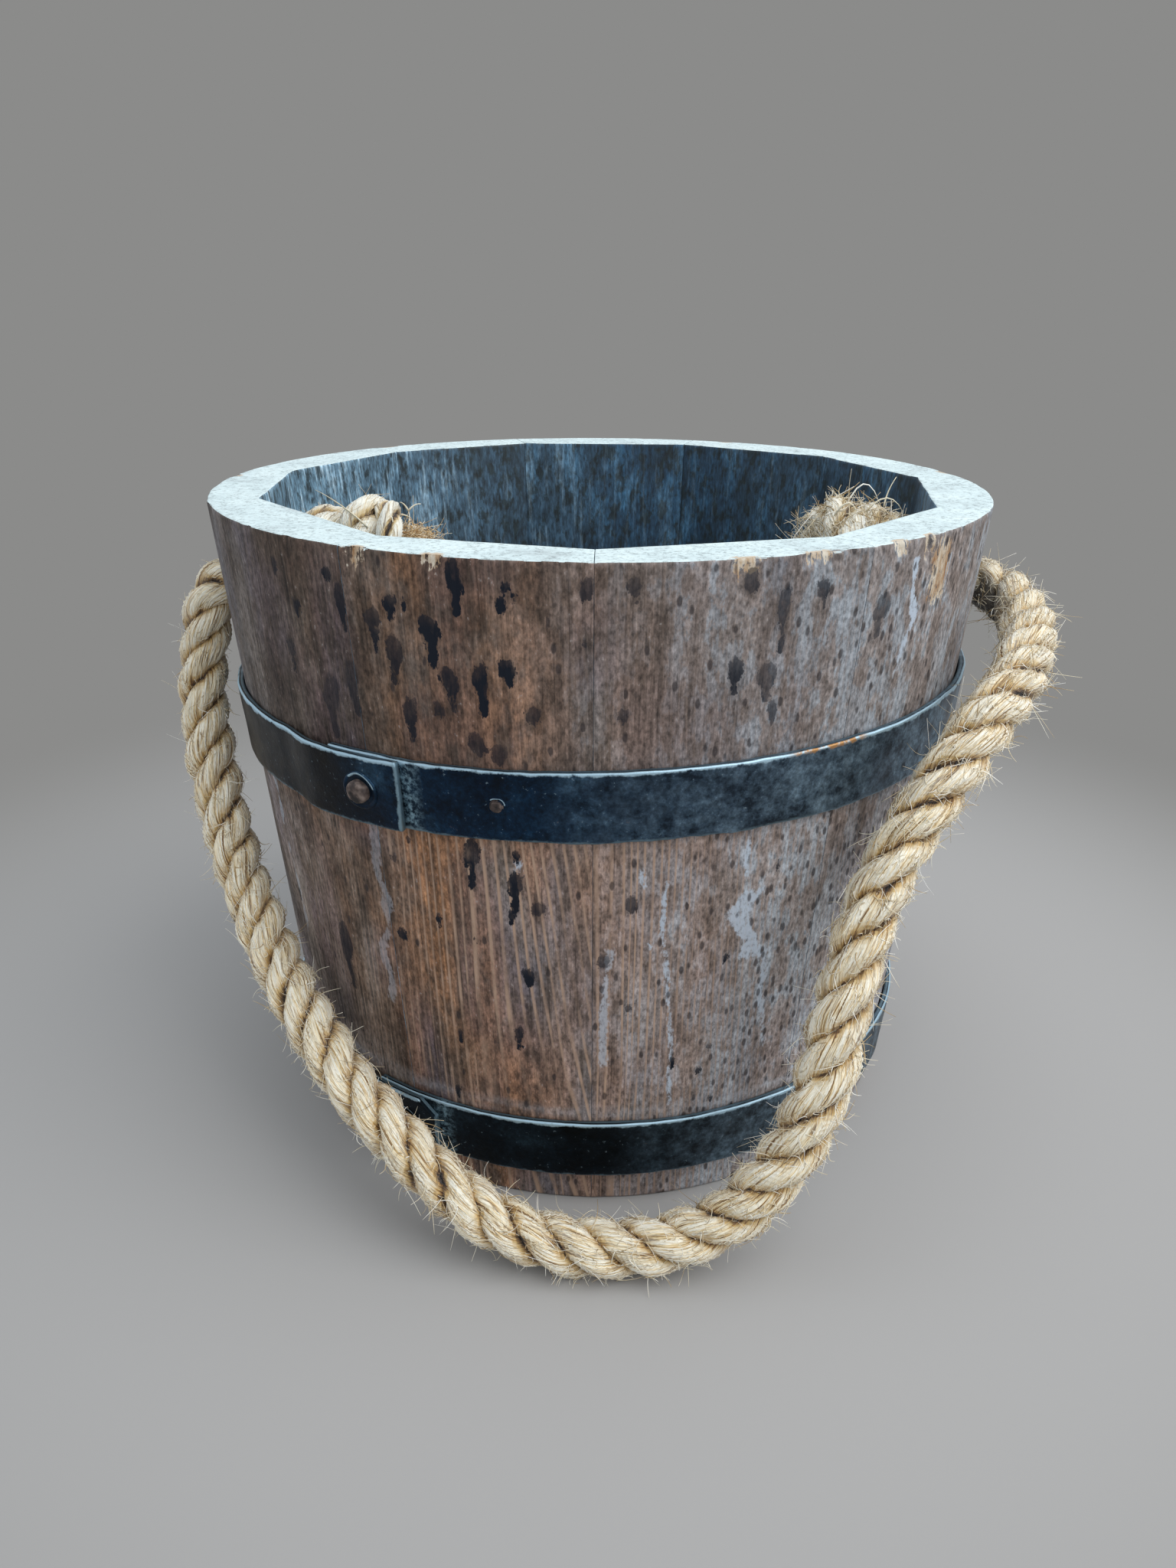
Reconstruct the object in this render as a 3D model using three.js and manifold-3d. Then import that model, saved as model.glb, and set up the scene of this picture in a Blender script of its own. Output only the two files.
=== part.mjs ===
// A coopered well bucket: tapered staves round a board bottom, two riveted iron hoops, and a rope
// handle that is knotted through a hole in each side.
// Millimetres, +Z up, origin at the centre of the base, front towards -Y.
import * as THREE from 'three';
import { ConvexGeometry } from 'three/addons/geometries/ConvexGeometry.js';
import { mergeVertices } from 'three/addons/utils/BufferGeometryUtils.js';
import Module from 'manifold-3d';

// The body of staves
const HEIGHT = 297;
const RIM_RADIUS = 180;
const BASE_RADIUS = 153;
const WALL = 22.5; // at the joints, where two flat inside faces meet
const JOINT_ANGLES = [-161, -122, -91, -57, -25, 7, 38, 71, 106, 136, 168]; // degrees from +X
const STAVE_FACETS = 6;
const FIT = 0.3; // clearance between pieces that touch

// The bottom, bevelled to a lip that sits in a groove in the staves
const BOTTOM_LIFT = 22;
const BOTTOM_THICK = 18;
const LIP_THICK = 8;
const LIP_DEPTH = 3.5; // past the inside corners of the staves
const BEVEL = 13.5;
const MIDDLE_BOARD = 92;

// Hoops
const HOOP_WIDTH = 30;
const HOOP_THICK = 3;
const UPPER_HOOP_DROP = 78; // rim to the hoop's upper edge
const LOWER_HOOP_LIFT = 17.5; // base to the hoop's lower edge
const UPPER_HOOP_TILT = 1.7; // degrees, higher on the right
const LOWER_HOOP_TILT = 0.3;
const LAP = 12; // degrees of overlap
const LAP_RAMP = 9; // degrees over which the outer end climbs onto the inner one
const UPPER_LAP_END = -116; // degrees from +X
const LOWER_LAP_END = -116.5;
const CORNER_CLIP = 8;
const HOOP_STEPS = 100;

// Rivets and the nail
const RIVET_RADIUS = 3;
const RIVET_HEAD_RADIUS = 5.5;
const RIVET_HEAD = 2.8;
const NAIL_RADIUS = 1.6;
const NAIL_HEAD_RADIUS = 3.4;
const NAIL_HEAD = 1.4;
const NAIL_LENGTH = 18; // in the wood
const NAIL_ANGLE = -103; // degrees from +X

// The rope, its holes, its knots and its frayed ends
const ROPE_DIAMETER = 24;
const ROPE_SIDES = 10;
const ROPE_STEPS = 72;
const HOLE_CLEARANCE = 2;
const HOLE_DROP = 45; // rim to the middle of a hole
const HOLE_Y = -4;
const LEFT_KNOT = { length: 50, radius: 34 };
const RIGHT_KNOT = { length: 34, radius: 31 };
const LEFT_END = { length: 26, near: 10, far: 12, offset: [5, 8] };
const RIGHT_END = { length: 20, near: 15, far: 21, offset: [4, 6] };

// Where the free rope runs, from the left hole over the floor in front to the right hole
const ROPE_ROUTE = [
  [-163, -4, 252], [-177, -4, 251.2], [-188.5, -4.5, 243.5], [-194.5, -6, 229], [-197, -10, 211],
  [-196, -19, 189], [-191, -32, 165], [-181, -51, 139], [-167, -75, 114], [-148, -103, 92],
  [-124, -134, 73], [-97, -160, 54], [-68, -180, 35], [-40, -190.5, 19.5], [-13, -195, 13],
  [14, -196, 13], [40, -195.5, 20], [63, -195, 38.5], [79.5, -192.5, 64], [89.5, -187, 90],
  [96, -178.5, 118], [104.5, -167.5, 148], [118, -155, 177], [136.2, -142.8, 202], [156, -125.5, 221.5],
  [175, -101, 232], [187.5, -75, 238.5], [193.3, -54, 242.5], [194.8, -36, 246], [192, -18.5, 249.5],
  [182, -6.8, 251.5], [165, -4, 252],
];

const RADIANS = Math.PI / 180;
const TAPER = (RIM_RADIUS - BASE_RADIUS) / HEIGHT;
const HOLE_Z = HEIGHT - HOLE_DROP;
const HOLE_RADIUS = ROPE_DIAMETER / 2 + HOLE_CLEARANCE;

const wasm = await Module();
wasm.setup();

const bucket = new THREE.Group();

// Radius of the outside of the staves at a height
function wallRadius(z) {
  return BASE_RADIUS + TAPER * z;
}

// Point at an angle in radians, a radius and a height
function around(angle, radius, z) {
  return new THREE.Vector3(radius * Math.cos(angle), radius * Math.sin(angle), z);
}

// Direction square to the outside of the staves at an angle in radians
function outward(angle) {
  return around(angle, 1, -TAPER).normalize();
}

function toSolid(geometry) {
  const bare = new THREE.BufferGeometry();
  bare.setAttribute('position', geometry.getAttribute('position'));
  bare.setIndex(geometry.getIndex());
  const merged = mergeVertices(bare);
  return new wasm.Manifold(new wasm.Mesh({
    numProp: 3,
    vertProperties: Float32Array.from(merged.getAttribute('position').array),
    triVerts: Uint32Array.from(merged.getIndex().array),
  }));
}

function toGeometry(solid) {
  const mesh = solid.getMesh();
  const geometry = new THREE.BufferGeometry();
  geometry.setAttribute('position', new THREE.BufferAttribute(mesh.vertProperties, 3));
  geometry.setIndex(new THREE.BufferAttribute(mesh.triVerts, 1));
  geometry.computeVertexNormals();
  return geometry;
}

function addPart(name, solid, material) {
  const mesh = new THREE.Mesh(toGeometry(solid), material.clone());
  mesh.name = name;
  bucket.add(mesh);
}

// Turned shape with its axis along a direction from a point; profile points are [radius, distance]
function turned(profile, origin, direction, sides) {
  const outline = profile.map(([radius, along]) => new THREE.Vector2(radius, along));
  const geometry = new THREE.LatheGeometry(outline, sides);
  const turn = new THREE.Quaternion().setFromUnitVectors(new THREE.Vector3(0, 1, 0), direction);
  geometry.applyQuaternion(turn);
  geometry.translate(origin.x, origin.y, origin.z);
  return toSolid(geometry);
}

function rod(origin, direction, radius, from, to, sides) {
  return turned([[0, from], [radius, from], [radius, to], [0, to]], origin, direction, sides);
}

const oldWood = new THREE.MeshStandardMaterial({ color: '#6a5240', roughness: 0.85, metalness: 0 });
const innerWood = new THREE.MeshStandardMaterial({ color: '#3f4a52', roughness: 0.9, metalness: 0 });
const blackIron = new THREE.MeshStandardMaterial({ color: '#1f2a31', roughness: 0.5, metalness: 0.8 });
const rustyIron = new THREE.MeshStandardMaterial({ color: '#54463d', roughness: 0.8, metalness: 0.6 });
const manila = new THREE.MeshStandardMaterial({ color: '#c3ac83', roughness: 0.95, metalness: 0 });
const frayed = new THREE.MeshStandardMaterial({ color: '#b98a52', roughness: 0.95, metalness: 0 });

// Angles in radians at which a stave starts and ends
function staveEdges(index) {
  const start = JOINT_ANGLES[index];
  const next = JOINT_ANGLES[(index + 1) % JOINT_ANGLES.length];
  const end = next > start ? next : next + 360;
  return [start * RADIANS, end * RADIANS];
}

// A stave is convex: a flat inside face, two joint faces, and an outside that follows the cone
function staveBlank(index) {
  const [start, end] = staveEdges(index);
  const points = [];
  for (const z of [0, HEIGHT]) {
    const outer = wallRadius(z);
    const inner = outer - WALL;
    for (const radius of [inner, outer]) {
      const inset = Math.asin(FIT / 2 / radius);
      points.push(around(start + inset, radius, z), around(end - inset, radius, z));
    }
    for (let i = 1; i < STAVE_FACETS; i++) {
      points.push(around(start + (end - start) * i / STAVE_FACETS, outer, z));
    }
  }
  return toSolid(new ConvexGeometry(points));
}

// The whole bottom as one turned disc, grown on every side by a clearance
function bottomDisc(grow) {
  const low = BOTTOM_LIFT - grow;
  const high = BOTTOM_LIFT + BOTTOM_THICK + grow;
  const lip = (BOTTOM_THICK - LIP_THICK) / 2;
  const edge = wallRadius(BOTTOM_LIFT + BOTTOM_THICK / 2) - WALL + LIP_DEPTH;
  const profile = [
    [0, low], [edge - BEVEL + grow, low], [edge + grow, low + lip],
    [edge + grow, high - lip], [edge - BEVEL + grow, high], [0, high],
  ];
  return turned(profile, new THREE.Vector3(), new THREE.Vector3(0, 0, 1), 72);
}

// A flat strap bent round the cone; its outer end climbs over its inner end
function bentStrap(low, tilt, lapEnd, clip) {
  const turn = (360 + LAP) * RADIANS;
  const rampEnd = 358 * RADIANS;
  const rampStart = rampEnd - LAP_RAMP * RADIANS;
  const geometry = new THREE.BoxGeometry(turn, HOOP_THICK, HOOP_WIDTH, HOOP_STEPS, 1, 3);
  const position = geometry.getAttribute('position');
  for (let i = 0; i < position.count; i++) {
    let along = position.getX(i) + turn / 2;
    const across = position.getZ(i) + HOOP_WIDTH / 2;
    const isClipped = along > turn - 1e-4 && across > HOOP_WIDTH - 1e-4;
    if (isClipped) along -= clip / wallRadius(low);
    const angle = lapEnd * RADIANS - turn + along;
    const climb = THREE.MathUtils.smoothstep(along, rampStart, rampEnd) * (HOOP_THICK + FIT);
    const offset = FIT + climb + HOOP_THICK / 2 - position.getY(i);
    const z = low + across + Math.tan(tilt * RADIANS) * wallRadius(low) * Math.cos(angle);
    const point = around(angle, wallRadius(z) + offset, z);
    position.setXYZ(i, point.x, point.y, point.z);
  }
  return toSolid(geometry);
}

// Where a fastener crosses the middle of a hoop
function hoopMiddle(low, tilt, angle) {
  const z = low + HOOP_WIDTH / 2 + Math.tan(tilt * RADIANS) * wallRadius(low) * Math.cos(angle);
  return around(angle, wallRadius(z), z);
}

// Domed head on a straight shank, along the outward direction from the wood's surface
function fastener(origin, direction, shank, head, tip, seat) {
  const profile = [
    [0, tip], [shank, tip], [shank, seat], [head.radius, seat], [head.radius, seat + head.height * 0.35],
    [head.radius * 0.72, seat + head.height * 0.85], [0, seat + head.height],
  ];
  return turned(profile, origin, direction, 16);
}

// How far in, along X, the inside face of the stave beside a rope hole stands, and how it leans
function insideFace(side) {
  const holeAngle = side > 0 ? 0 : 180;
  const index = JOINT_ANGLES.findIndex((_, i) => {
    const [start, end] = staveEdges(i);
    return [holeAngle, holeAngle - 360].some((a) => a * RADIANS > start && a * RADIANS < end);
  });
  const [start, end] = staveEdges(index);
  const middle = (start + end) / 2;
  const flat = (wallRadius(HOLE_Z) - WALL) * Math.cos((end - start) / 2);
  const normal = around(middle, 1, -TAPER * Math.cos((end - start) / 2)).normalize();
  const x = (flat - HOLE_Y * Math.sin(middle)) / Math.cos(middle);
  return { x, lean: Math.acos(Math.abs(normal.x)) };
}

// Distance from the middle at which a knot starts, clear of its leaning face at the hole's edge
function knotStart(side) {
  const face = insideFace(side);
  return Math.abs(face.x) - FIT - HOLE_RADIUS * Math.tan(face.lean);
}

function knot(side, { length, radius }) {
  const steps = 10;
  const profile = [];
  for (let i = 0; i <= steps; i++) {
    const swing = Math.PI * i / steps;
    const along = length * (1 - Math.cos(swing)) / 2;
    const swell = i % steps === 0 ? 0 : radius * Math.sin(swing) ** 0.7;
    profile.push([swell, along]);
  }
  const origin = new THREE.Vector3(side * knotStart(side), HOLE_Y, HOLE_Z);
  return turned(profile, origin, new THREE.Vector3(-side, 0, 0), 20);
}

function frayedEnd(side, knotSize, { length, near, far, offset }) {
  const x = side * (knotStart(side) - knotSize.length - FIT);
  const origin = new THREE.Vector3(x, HOLE_Y + offset[0], HOLE_Z + offset[1]);
  const profile = [[0, 0], [near, 0], [far, length], [0, length]];
  return turned(profile, origin, new THREE.Vector3(-side, 0, 0), 14);
}

function rope() {
  const leftTip = new THREE.Vector3(-knotStart(-1) - FIT, HOLE_Y, HOLE_Z);
  const rightTip = new THREE.Vector3(knotStart(1) + FIT, HOLE_Y, HOLE_Z);
  const middle = ROPE_ROUTE.map(([x, y, z]) => new THREE.Vector3(x, y, z));
  const path = new THREE.CatmullRomCurve3([leftTip, ...middle, rightTip]);
  const section = new THREE.Shape();
  for (let i = 0; i < ROPE_SIDES; i++) {
    const angle = 2 * Math.PI * i / ROPE_SIDES;
    const corner = [Math.cos(angle) * ROPE_DIAMETER / 2, Math.sin(angle) * ROPE_DIAMETER / 2];
    if (i === 0) section.moveTo(...corner);
    else section.lineTo(...corner);
  }
  const geometry = new THREE.ExtrudeGeometry(section, { steps: ROPE_STEPS, extrudePath: path });
  return toSolid(geometry);
}

// Hoops, rivets and the nail
const upperLow = HEIGHT - UPPER_HOOP_DROP - HOOP_WIDTH;
const hoops = [
  { name: 'upper', low: upperLow, tilt: UPPER_HOOP_TILT, lapEnd: UPPER_LAP_END, clip: 0 },
  { name: 'lower', low: LOWER_HOOP_LIFT, tilt: LOWER_HOOP_TILT, lapEnd: LOWER_LAP_END, clip: CORNER_CLIP },
];
const strapFace = FIT + HOOP_THICK;
const nailAngle = NAIL_ANGLE * RADIANS;
const nailPoint = hoopMiddle(upperLow, UPPER_HOOP_TILT, nailAngle);
const nailHole = rod(nailPoint, outward(nailAngle), NAIL_RADIUS + FIT, -NAIL_LENGTH - FIT, 20, 16);
for (const { name, low, tilt, lapEnd, clip } of hoops) {
  const rivetAngle = (lapEnd - LAP / 2) * RADIANS;
  const point = hoopMiddle(low, tilt, rivetAngle);
  const direction = outward(rivetAngle);
  const rivetHole = rod(point, direction, RIVET_RADIUS + FIT, -5, 20, 16);
  let strap = bentStrap(low, tilt, lapEnd, clip).subtract(rivetHole);
  if (name === 'upper') strap = strap.subtract(nailHole);
  addPart(`${name}_hoop`, strap, blackIron);
  const head = { radius: RIVET_HEAD_RADIUS, height: RIVET_HEAD };
  const rivet = fastener(point, direction, RIVET_RADIUS, head, FIT, 2 * strapFace + FIT);
  addPart(`${name}_rivet`, rivet, rustyIron);
}
const nailHead = { radius: NAIL_HEAD_RADIUS, height: NAIL_HEAD };
const nail = fastener(nailPoint, outward(nailAngle), NAIL_RADIUS, nailHead, -NAIL_LENGTH, strapFace + FIT);
addPart('hoop_nail', nail, rustyIron);

// Staves, cut for the bottom's groove, the rope holes and the nail
const groove = bottomDisc(FIT);
const ropeHoles = [-1, 1].map((side) => {
  const origin = new THREE.Vector3(0, HOLE_Y, HOLE_Z);
  return rod(origin, new THREE.Vector3(side, 0, 0), HOLE_RADIUS, BASE_RADIUS / 2, RIM_RADIUS * 2, 24);
});
JOINT_ANGLES.forEach((_, index) => {
  let stave = staveBlank(index);
  for (const cut of [groove, ...ropeHoles, nailHole]) stave = stave.subtract(cut);
  addPart(`stave_${String(index + 1).padStart(2, '0')}`, stave, oldWood);
});

// Bottom boards, cut side by side from the disc
const disc = bottomDisc(0);
const boardEdges = [-2 * RIM_RADIUS, -MIDDLE_BOARD / 2, MIDDLE_BOARD / 2, 2 * RIM_RADIUS];
['left', 'middle', 'right'].forEach((name, i) => {
  const width = boardEdges[i + 1] - boardEdges[i] - FIT;
  const plank = new THREE.BoxGeometry(width, 4 * RIM_RADIUS, 2 * HEIGHT);
  plank.translate((boardEdges[i] + boardEdges[i + 1]) / 2, 0, 0);
  addPart(`bottom_board_${name}`, disc.intersect(toSolid(plank)), innerWood);
});

// Rope handle with its knots and frayed ends
addPart('rope_handle', rope(), manila);
addPart('left_knot', knot(-1, LEFT_KNOT), manila);
addPart('right_knot', knot(1, RIGHT_KNOT), manila);
addPart('left_frayed_end', frayedEnd(-1, LEFT_KNOT, LEFT_END), frayed);
addPart('right_frayed_end', frayedEnd(1, RIGHT_KNOT, RIGHT_END), frayed);

export default bucket;
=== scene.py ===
import math
from functools import partial, reduce

import bmesh
import bpy
import numpy as np
from mathutils import Matrix


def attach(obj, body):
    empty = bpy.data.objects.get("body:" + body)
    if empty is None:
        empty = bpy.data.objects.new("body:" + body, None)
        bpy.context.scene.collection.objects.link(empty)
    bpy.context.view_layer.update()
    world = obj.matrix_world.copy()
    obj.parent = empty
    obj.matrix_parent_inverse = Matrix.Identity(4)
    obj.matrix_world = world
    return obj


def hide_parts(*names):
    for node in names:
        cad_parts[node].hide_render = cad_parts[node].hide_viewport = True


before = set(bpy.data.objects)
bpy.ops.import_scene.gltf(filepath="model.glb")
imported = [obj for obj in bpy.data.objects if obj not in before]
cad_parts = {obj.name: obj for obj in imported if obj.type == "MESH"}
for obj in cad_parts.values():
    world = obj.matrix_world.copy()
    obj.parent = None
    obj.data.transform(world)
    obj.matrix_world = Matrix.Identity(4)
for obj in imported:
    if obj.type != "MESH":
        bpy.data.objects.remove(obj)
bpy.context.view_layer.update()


# The studio. A plain pale floor runs out into an even grey background, under a pale sky that
# lights the bucket from all round and one broad soft lamp high on the right.
# The camera stands in front of the bucket and looks down into its mouth.
CAMERA_PLACE = (-0.0049, -0.575, 0.382)
CAMERA_TILT, CAMERA_ROLL = 67.21, 0.24
FOCAL_PIXELS, PICTURE_HEIGHT, SENSOR = 1540, 2048, 36.0
FLOOR_REACH, FLOOR_ROWS = 6000, 5
FLOOR_COLOUR, BACKGROUND_COLOUR = "#a9a7a5", "#8b8b8a"
FADE_START, FADE_END = 0.24, 0.66
SKY_COLOUR, SKY_STRENGTH = "#eef5fc", 0.92
LAMP_PLACE, LAMP_AIM = (1.35, -0.75, 1.9), (0, 0, 0.15)
LAMP_SIZE, LAMP_WATTS = 2.4, 39.0


def linear(code):
    """Linear colour of an sRGB hex code: each channel over 255, the sRGB curve, and alpha 1."""
    part = np.array([int(code[i:i + 2], 16) for i in (1, 3, 5)]) / 255
    part = np.where(part <= 0.04045, part / 12.92, ((part + 0.055) / 1.055) ** 2.4)
    return (*part.tolist(), 1.0)


def node(owner, kind, inputs=(), out=0, stops=(), **settings):
    """Adds a node with its settings, sets or links its inputs, and gives back one output. Inputs are
    a dict, or a tuple from the first one on. Text in them is a hex colour or the name of one of the
    piece's own attributes, a list is a product, and a tuple that opens with any of these is that
    value carried from one range to another. stops are a ramp's places and values."""
    tree = owner.node_tree
    made = tree.nodes.new("ShaderNode" + kind)
    for name, value in settings.items():
        setattr(made, name, value)
    for name, value in inputs.items() if isinstance(inputs, dict) else enumerate(inputs):
        if isinstance(value, list):
            value = reduce(lambda a, b: node(owner, "Math", (a, b), operation="MULTIPLY"), value)
        elif isinstance(value, tuple) and not isinstance(value[0], (int, float)):
            value = node(owner, "MapRange", value)
        elif isinstance(value, str) and value[0] != "#":
            value = node(owner, "Attribute", (), "Fac", attribute_name=value)
        if isinstance(value, bpy.types.NodeSocket):
            tree.links.new(value, made.inputs[name])
        else:
            made.inputs[name].default_value = linear(value) if isinstance(value, str) else value
    if stops:
        steps = made.color_ramp.elements
        while len(steps) < len(stops):
            steps.new(0.5)
        for step, (place, value) in zip(steps, stops):
            step.position = place
            step.color = linear(value) if isinstance(value, str) else (value, value, value, 1.0)
    return made.outputs[out] if len(made.outputs) else made


def bare(name, kind=bpy.data.materials):
    """A new material or world with an empty node tree, and node() for it."""
    made = kind.new(name)
    made.use_nodes = True
    made.node_tree.nodes.clear()
    return made, partial(node, made)


def placed(name, data):
    """A new object in the scene, at the origin."""
    thing = bpy.data.objects.new(name, data)
    bpy.context.scene.collection.objects.link(thing)
    return thing


def mesh_of(name, points, faces, uv=None):
    """A smooth mesh from an array of points in millimetres and arrays of faces. uv has one pair in
    metres for each point."""
    mesh = bpy.data.meshes.new(name)
    points = np.asarray(points, float).reshape(-1, 3)
    corners = np.concatenate([f.ravel() for f in faces]).astype(np.int32)
    sizes = np.concatenate([np.full(len(f), f.shape[1]) for f in faces])
    mesh.vertices.add(len(points))
    mesh.vertices.foreach_set("co", (points / 1000).ravel())
    mesh.loops.add(len(corners))
    mesh.loops.foreach_set("vertex_index", corners)
    mesh.polygons.add(len(sizes))
    mesh.polygons.foreach_set("loop_start", (np.cumsum(sizes) - sizes).astype(np.int32))
    mesh.update(calc_edges=True)
    if uv is not None:
        layer = mesh.uv_layers.new(name="surface")
        layer.data.foreach_set("uv", np.asarray(uv, float).reshape(-1, 2)[corners].ravel())
    mesh.shade_smooth()
    mesh.validate()
    return mesh


def grid_quads(rows, columns, wrap=False):
    """Corner numbers of the quads on a grid of points stored row by row; wrap joins the last
    column to the first."""
    index = np.arange(rows * columns).reshape(rows, columns)
    if wrap:
        index = np.concatenate([index, index[:, :1]], axis=1)
    quads = [index[:-1, :-1], index[:-1, 1:], index[1:, 1:], index[1:, :-1]]
    return np.stack(quads, -1).reshape(-1, 4)


# Painted studio floor: plain and pale, and far off the camera sees it as the background
floor_paint, paint = bare("pale_floor_paint")
from_middle = paint("VectorMath", {0: paint("TexCoord", out="Object")}, "Value", operation="LENGTH")
far_off = paint("MapRange", (from_middle, FADE_START, FADE_END), interpolation_type="SMOOTHSTEP")
seen_far = [far_off, paint("LightPath", out="Is Camera Ray")]
matt = paint("BsdfDiffuse", {"Color": FLOOR_COLOUR})
plain = paint("Emission", {"Color": BACKGROUND_COLOUR, "Strength": 1.0})
paint("OutputMaterial", {"Surface": paint("MixShader", (seen_far, matt, plain))})
reach = np.linspace(-FLOOR_REACH, FLOOR_REACH, FLOOR_ROWS)
floor_points = np.stack([*np.meshgrid(reach, reach), np.zeros((FLOOR_ROWS, FLOOR_ROWS))], -1)
floor = placed("floor", mesh_of("floor", floor_points, [grid_quads(FLOOR_ROWS, FLOOR_ROWS)]))
floor.data.materials.append(floor_paint)

sky, air = bare("pale_sky", bpy.data.worlds)
sky_light = air("Background", {"Color": SKY_COLOUR, "Strength": SKY_STRENGTH})
sky_seen = air("Background", {"Color": BACKGROUND_COLOUR, "Strength": 1.0})
seen = air("LightPath", out="Is Camera Ray")
air("OutputWorld", {"Surface": air("MixShader", (seen, sky_light, sky_seen))})
bpy.context.scene.world = sky

lamp = placed("soft_lamp", bpy.data.lights.new("soft_lamp", "AREA"))
lamp.data.size = LAMP_SIZE
lamp.data.energy = LAMP_WATTS
lamp.location = LAMP_PLACE
aim = np.subtract(LAMP_AIM, LAMP_PLACE)
lean = math.atan2(math.hypot(aim[0], aim[1]), -aim[2])
lamp.rotation_euler = (lean, 0, math.atan2(aim[1], aim[0]) - math.pi / 2)

camera = placed("camera", bpy.data.cameras.new("camera"))
camera.data.sensor_width = SENSOR
camera.data.lens = SENSOR * FOCAL_PIXELS / PICTURE_HEIGHT
camera.data.clip_start = 0.01
camera.matrix_world = (Matrix.Translation(CAMERA_PLACE)
                       @ Matrix.Rotation(math.radians(CAMERA_TILT), 4, "X")
                       @ Matrix.Rotation(math.radians(CAMERA_ROLL), 4, "Z"))
bpy.context.scene.camera = camera
bpy.context.scene.view_settings.view_transform = "Standard"


# The staves. Eleven tapered softwood staves of unequal width stand edge to edge in a ring, turned
# round outside and flat inside, with a groove for the bottom. Outside they are weathered and
# spotted with black drops, the sawn rim is bleached pale, and the inside is stained blue-black.
HEIGHT, RIM_RADIUS, BASE_RADIUS, WALL = 297.0, 180.0, 153.0, 22.5
JOINT_ANGLES = (-161, -122, -91, -57, -25, 7, 38, 71, 106, 136, 168, 199)
JOINT_GAP, FIRST_ANGLE = 0.04, -161.3
GROOVE_FOOT, GROOVE_TOP, GROOVE_DEPTH = 22.0, 30.2, 3.5
HOLE_Y, HOLE_Z, HOLE_RADIUS = -4.0, 252.0, 14.0
HOLED_STAVES = {5: 1, 11: -1}
DRILL_SIDES, DRILL_ENDS = 72, (100, 260)
UPPER_HOOP_FOOT, LOWER_HOOP_TOP = 189.0, 47.5
ARC_RADIUS = 172.0
STEP_ACROSS, STEP_THROUGH, STEP_UP = 1.0, 2.6, 2.1
THROUGH, EDGE_WEAR = 26.0, 0.8
RIM_INNER_ROUND, FOOT_OUTER_ROUND, FOOT_INNER_ROUND = 0.9, 1.6, 1.0
SIDE_ROUND, END_ROUND = 0.2, 0.35
NO_MARK, SKIN, LATTICE = -3.0, 4.0, 64
SEEN_STAVES, STAVE_SLICE = 4, 1.7
# A face's finish goes by the share of its normal that looks out, up near the rim or down at the foot
OUTSIDE, RIM, INSIDE = range(3)
LOOKS_OUT, LOOKS_UP, LOOKS_DOWN = 0.55, 0.72, -0.7
NEAR_RIM, NEAR_FOOT = 280.0, 10.0
# Wide growth rings on two staves: millimetres from one ring to the next
WIDE_RINGS = {2: 3.7, 3: 2.6}
# Chips out of the rim's outer edge: angle in degrees, then width, height and depth in mm
RIM_CHIPS = ((-119.7, 8, 7, 1.4), (-109.5, 10, 5, 1.6), (-74, 11, 7, 1.5), (-64.5, 14, 4, 1.8),
             (-52, 9, 6, 1.5), (-46, 7, 9, 1.8), (12, 12, 5, 1.6), (64, 9, 7, 1.5), (133, 12, 6, 1.6),
             (175, 8, 5, 1.5))
# A place where the skin has flaked off: angle and half its width in degrees, height and half of it in mm
FLAKED = (-42.5, 2.5, 281, 14)
# Black drops that ran down: angle, top, length and width in mm, and how dark
DROPS = ((-134.7, 288, 8, 4, .7), (-124.5, 288, 6, 4, .9), (-122.8, 283, 19, 5, .8),
         (-131, 274, 9, 5, 1), (-115.3, 282, 11, 5, 1), (-113.4, 281, 6, 2.5, 1),
         (-118.2, 275, 8, 6.5, .7), (-118, 268, 11, 4, 1), (-115.7, 266, 20, 6.5, .8),
         (-110.6, 276, 21, 6.5, 1), (-106.7, 296, 21, 5.5, 1), (-100.9, 290, 5, 3.2, 1),
         (-99.7, 286, 4, 3, 1), (-101.5, 284, 6, 3, 1), (-91.8, 292, 9, 4.5, .7), (-92, 270, 6, 3, .8),
         (-134, 257, 16, 4.5, .7), (-122.8, 254, 24, 7, .6), (-127, 245, 28, 8, .55),
         (-108.5, 256, 18, 6.5, .95), (-104.2, 259, 21, 6, 1), (-100.9, 261, 11, 5.5, 1),
         (-98, 244, 10, 5.5, .85), (-114, 242, 19, 5, .8), (-110, 242, 7, 5, .75),
         (-105.5, 231, 11, 6, .75), (-102.3, 228, 10, 6, .65), (-86.3, 293, 11, 5, .75),
         (-73, 293, 10, 6, .8), (-68.6, 286, 25, 5.5, .75), (-63.6, 287, 12, 5, .85),
         (-74.4, 261, 15, 5, .8), (-70, 258, 16, 7, .65), (-68.8, 243, 13, 3.5, .7),
         (-53.8, 278, 18, 7, .65), (-87.4, 243, 7, 4, .65), (-107.3, 186, 25, 6.5, 1),
         (-101.4, 172, 19, 6.5, 1), (-98.7, 160, 8, 6, .8), (-133.5, 124, 36, 8, .8),
         (-120, 134, 6, 4, .9), (-100.1, 127, 9, 5, .9), (-102, 96, 12, 4, .9),
         (-85.6, 163, 8, 5.5, .75), (-89.5, 136, 8, 5, .65), (-101.2, 182, 5, 3, .9))
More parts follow.
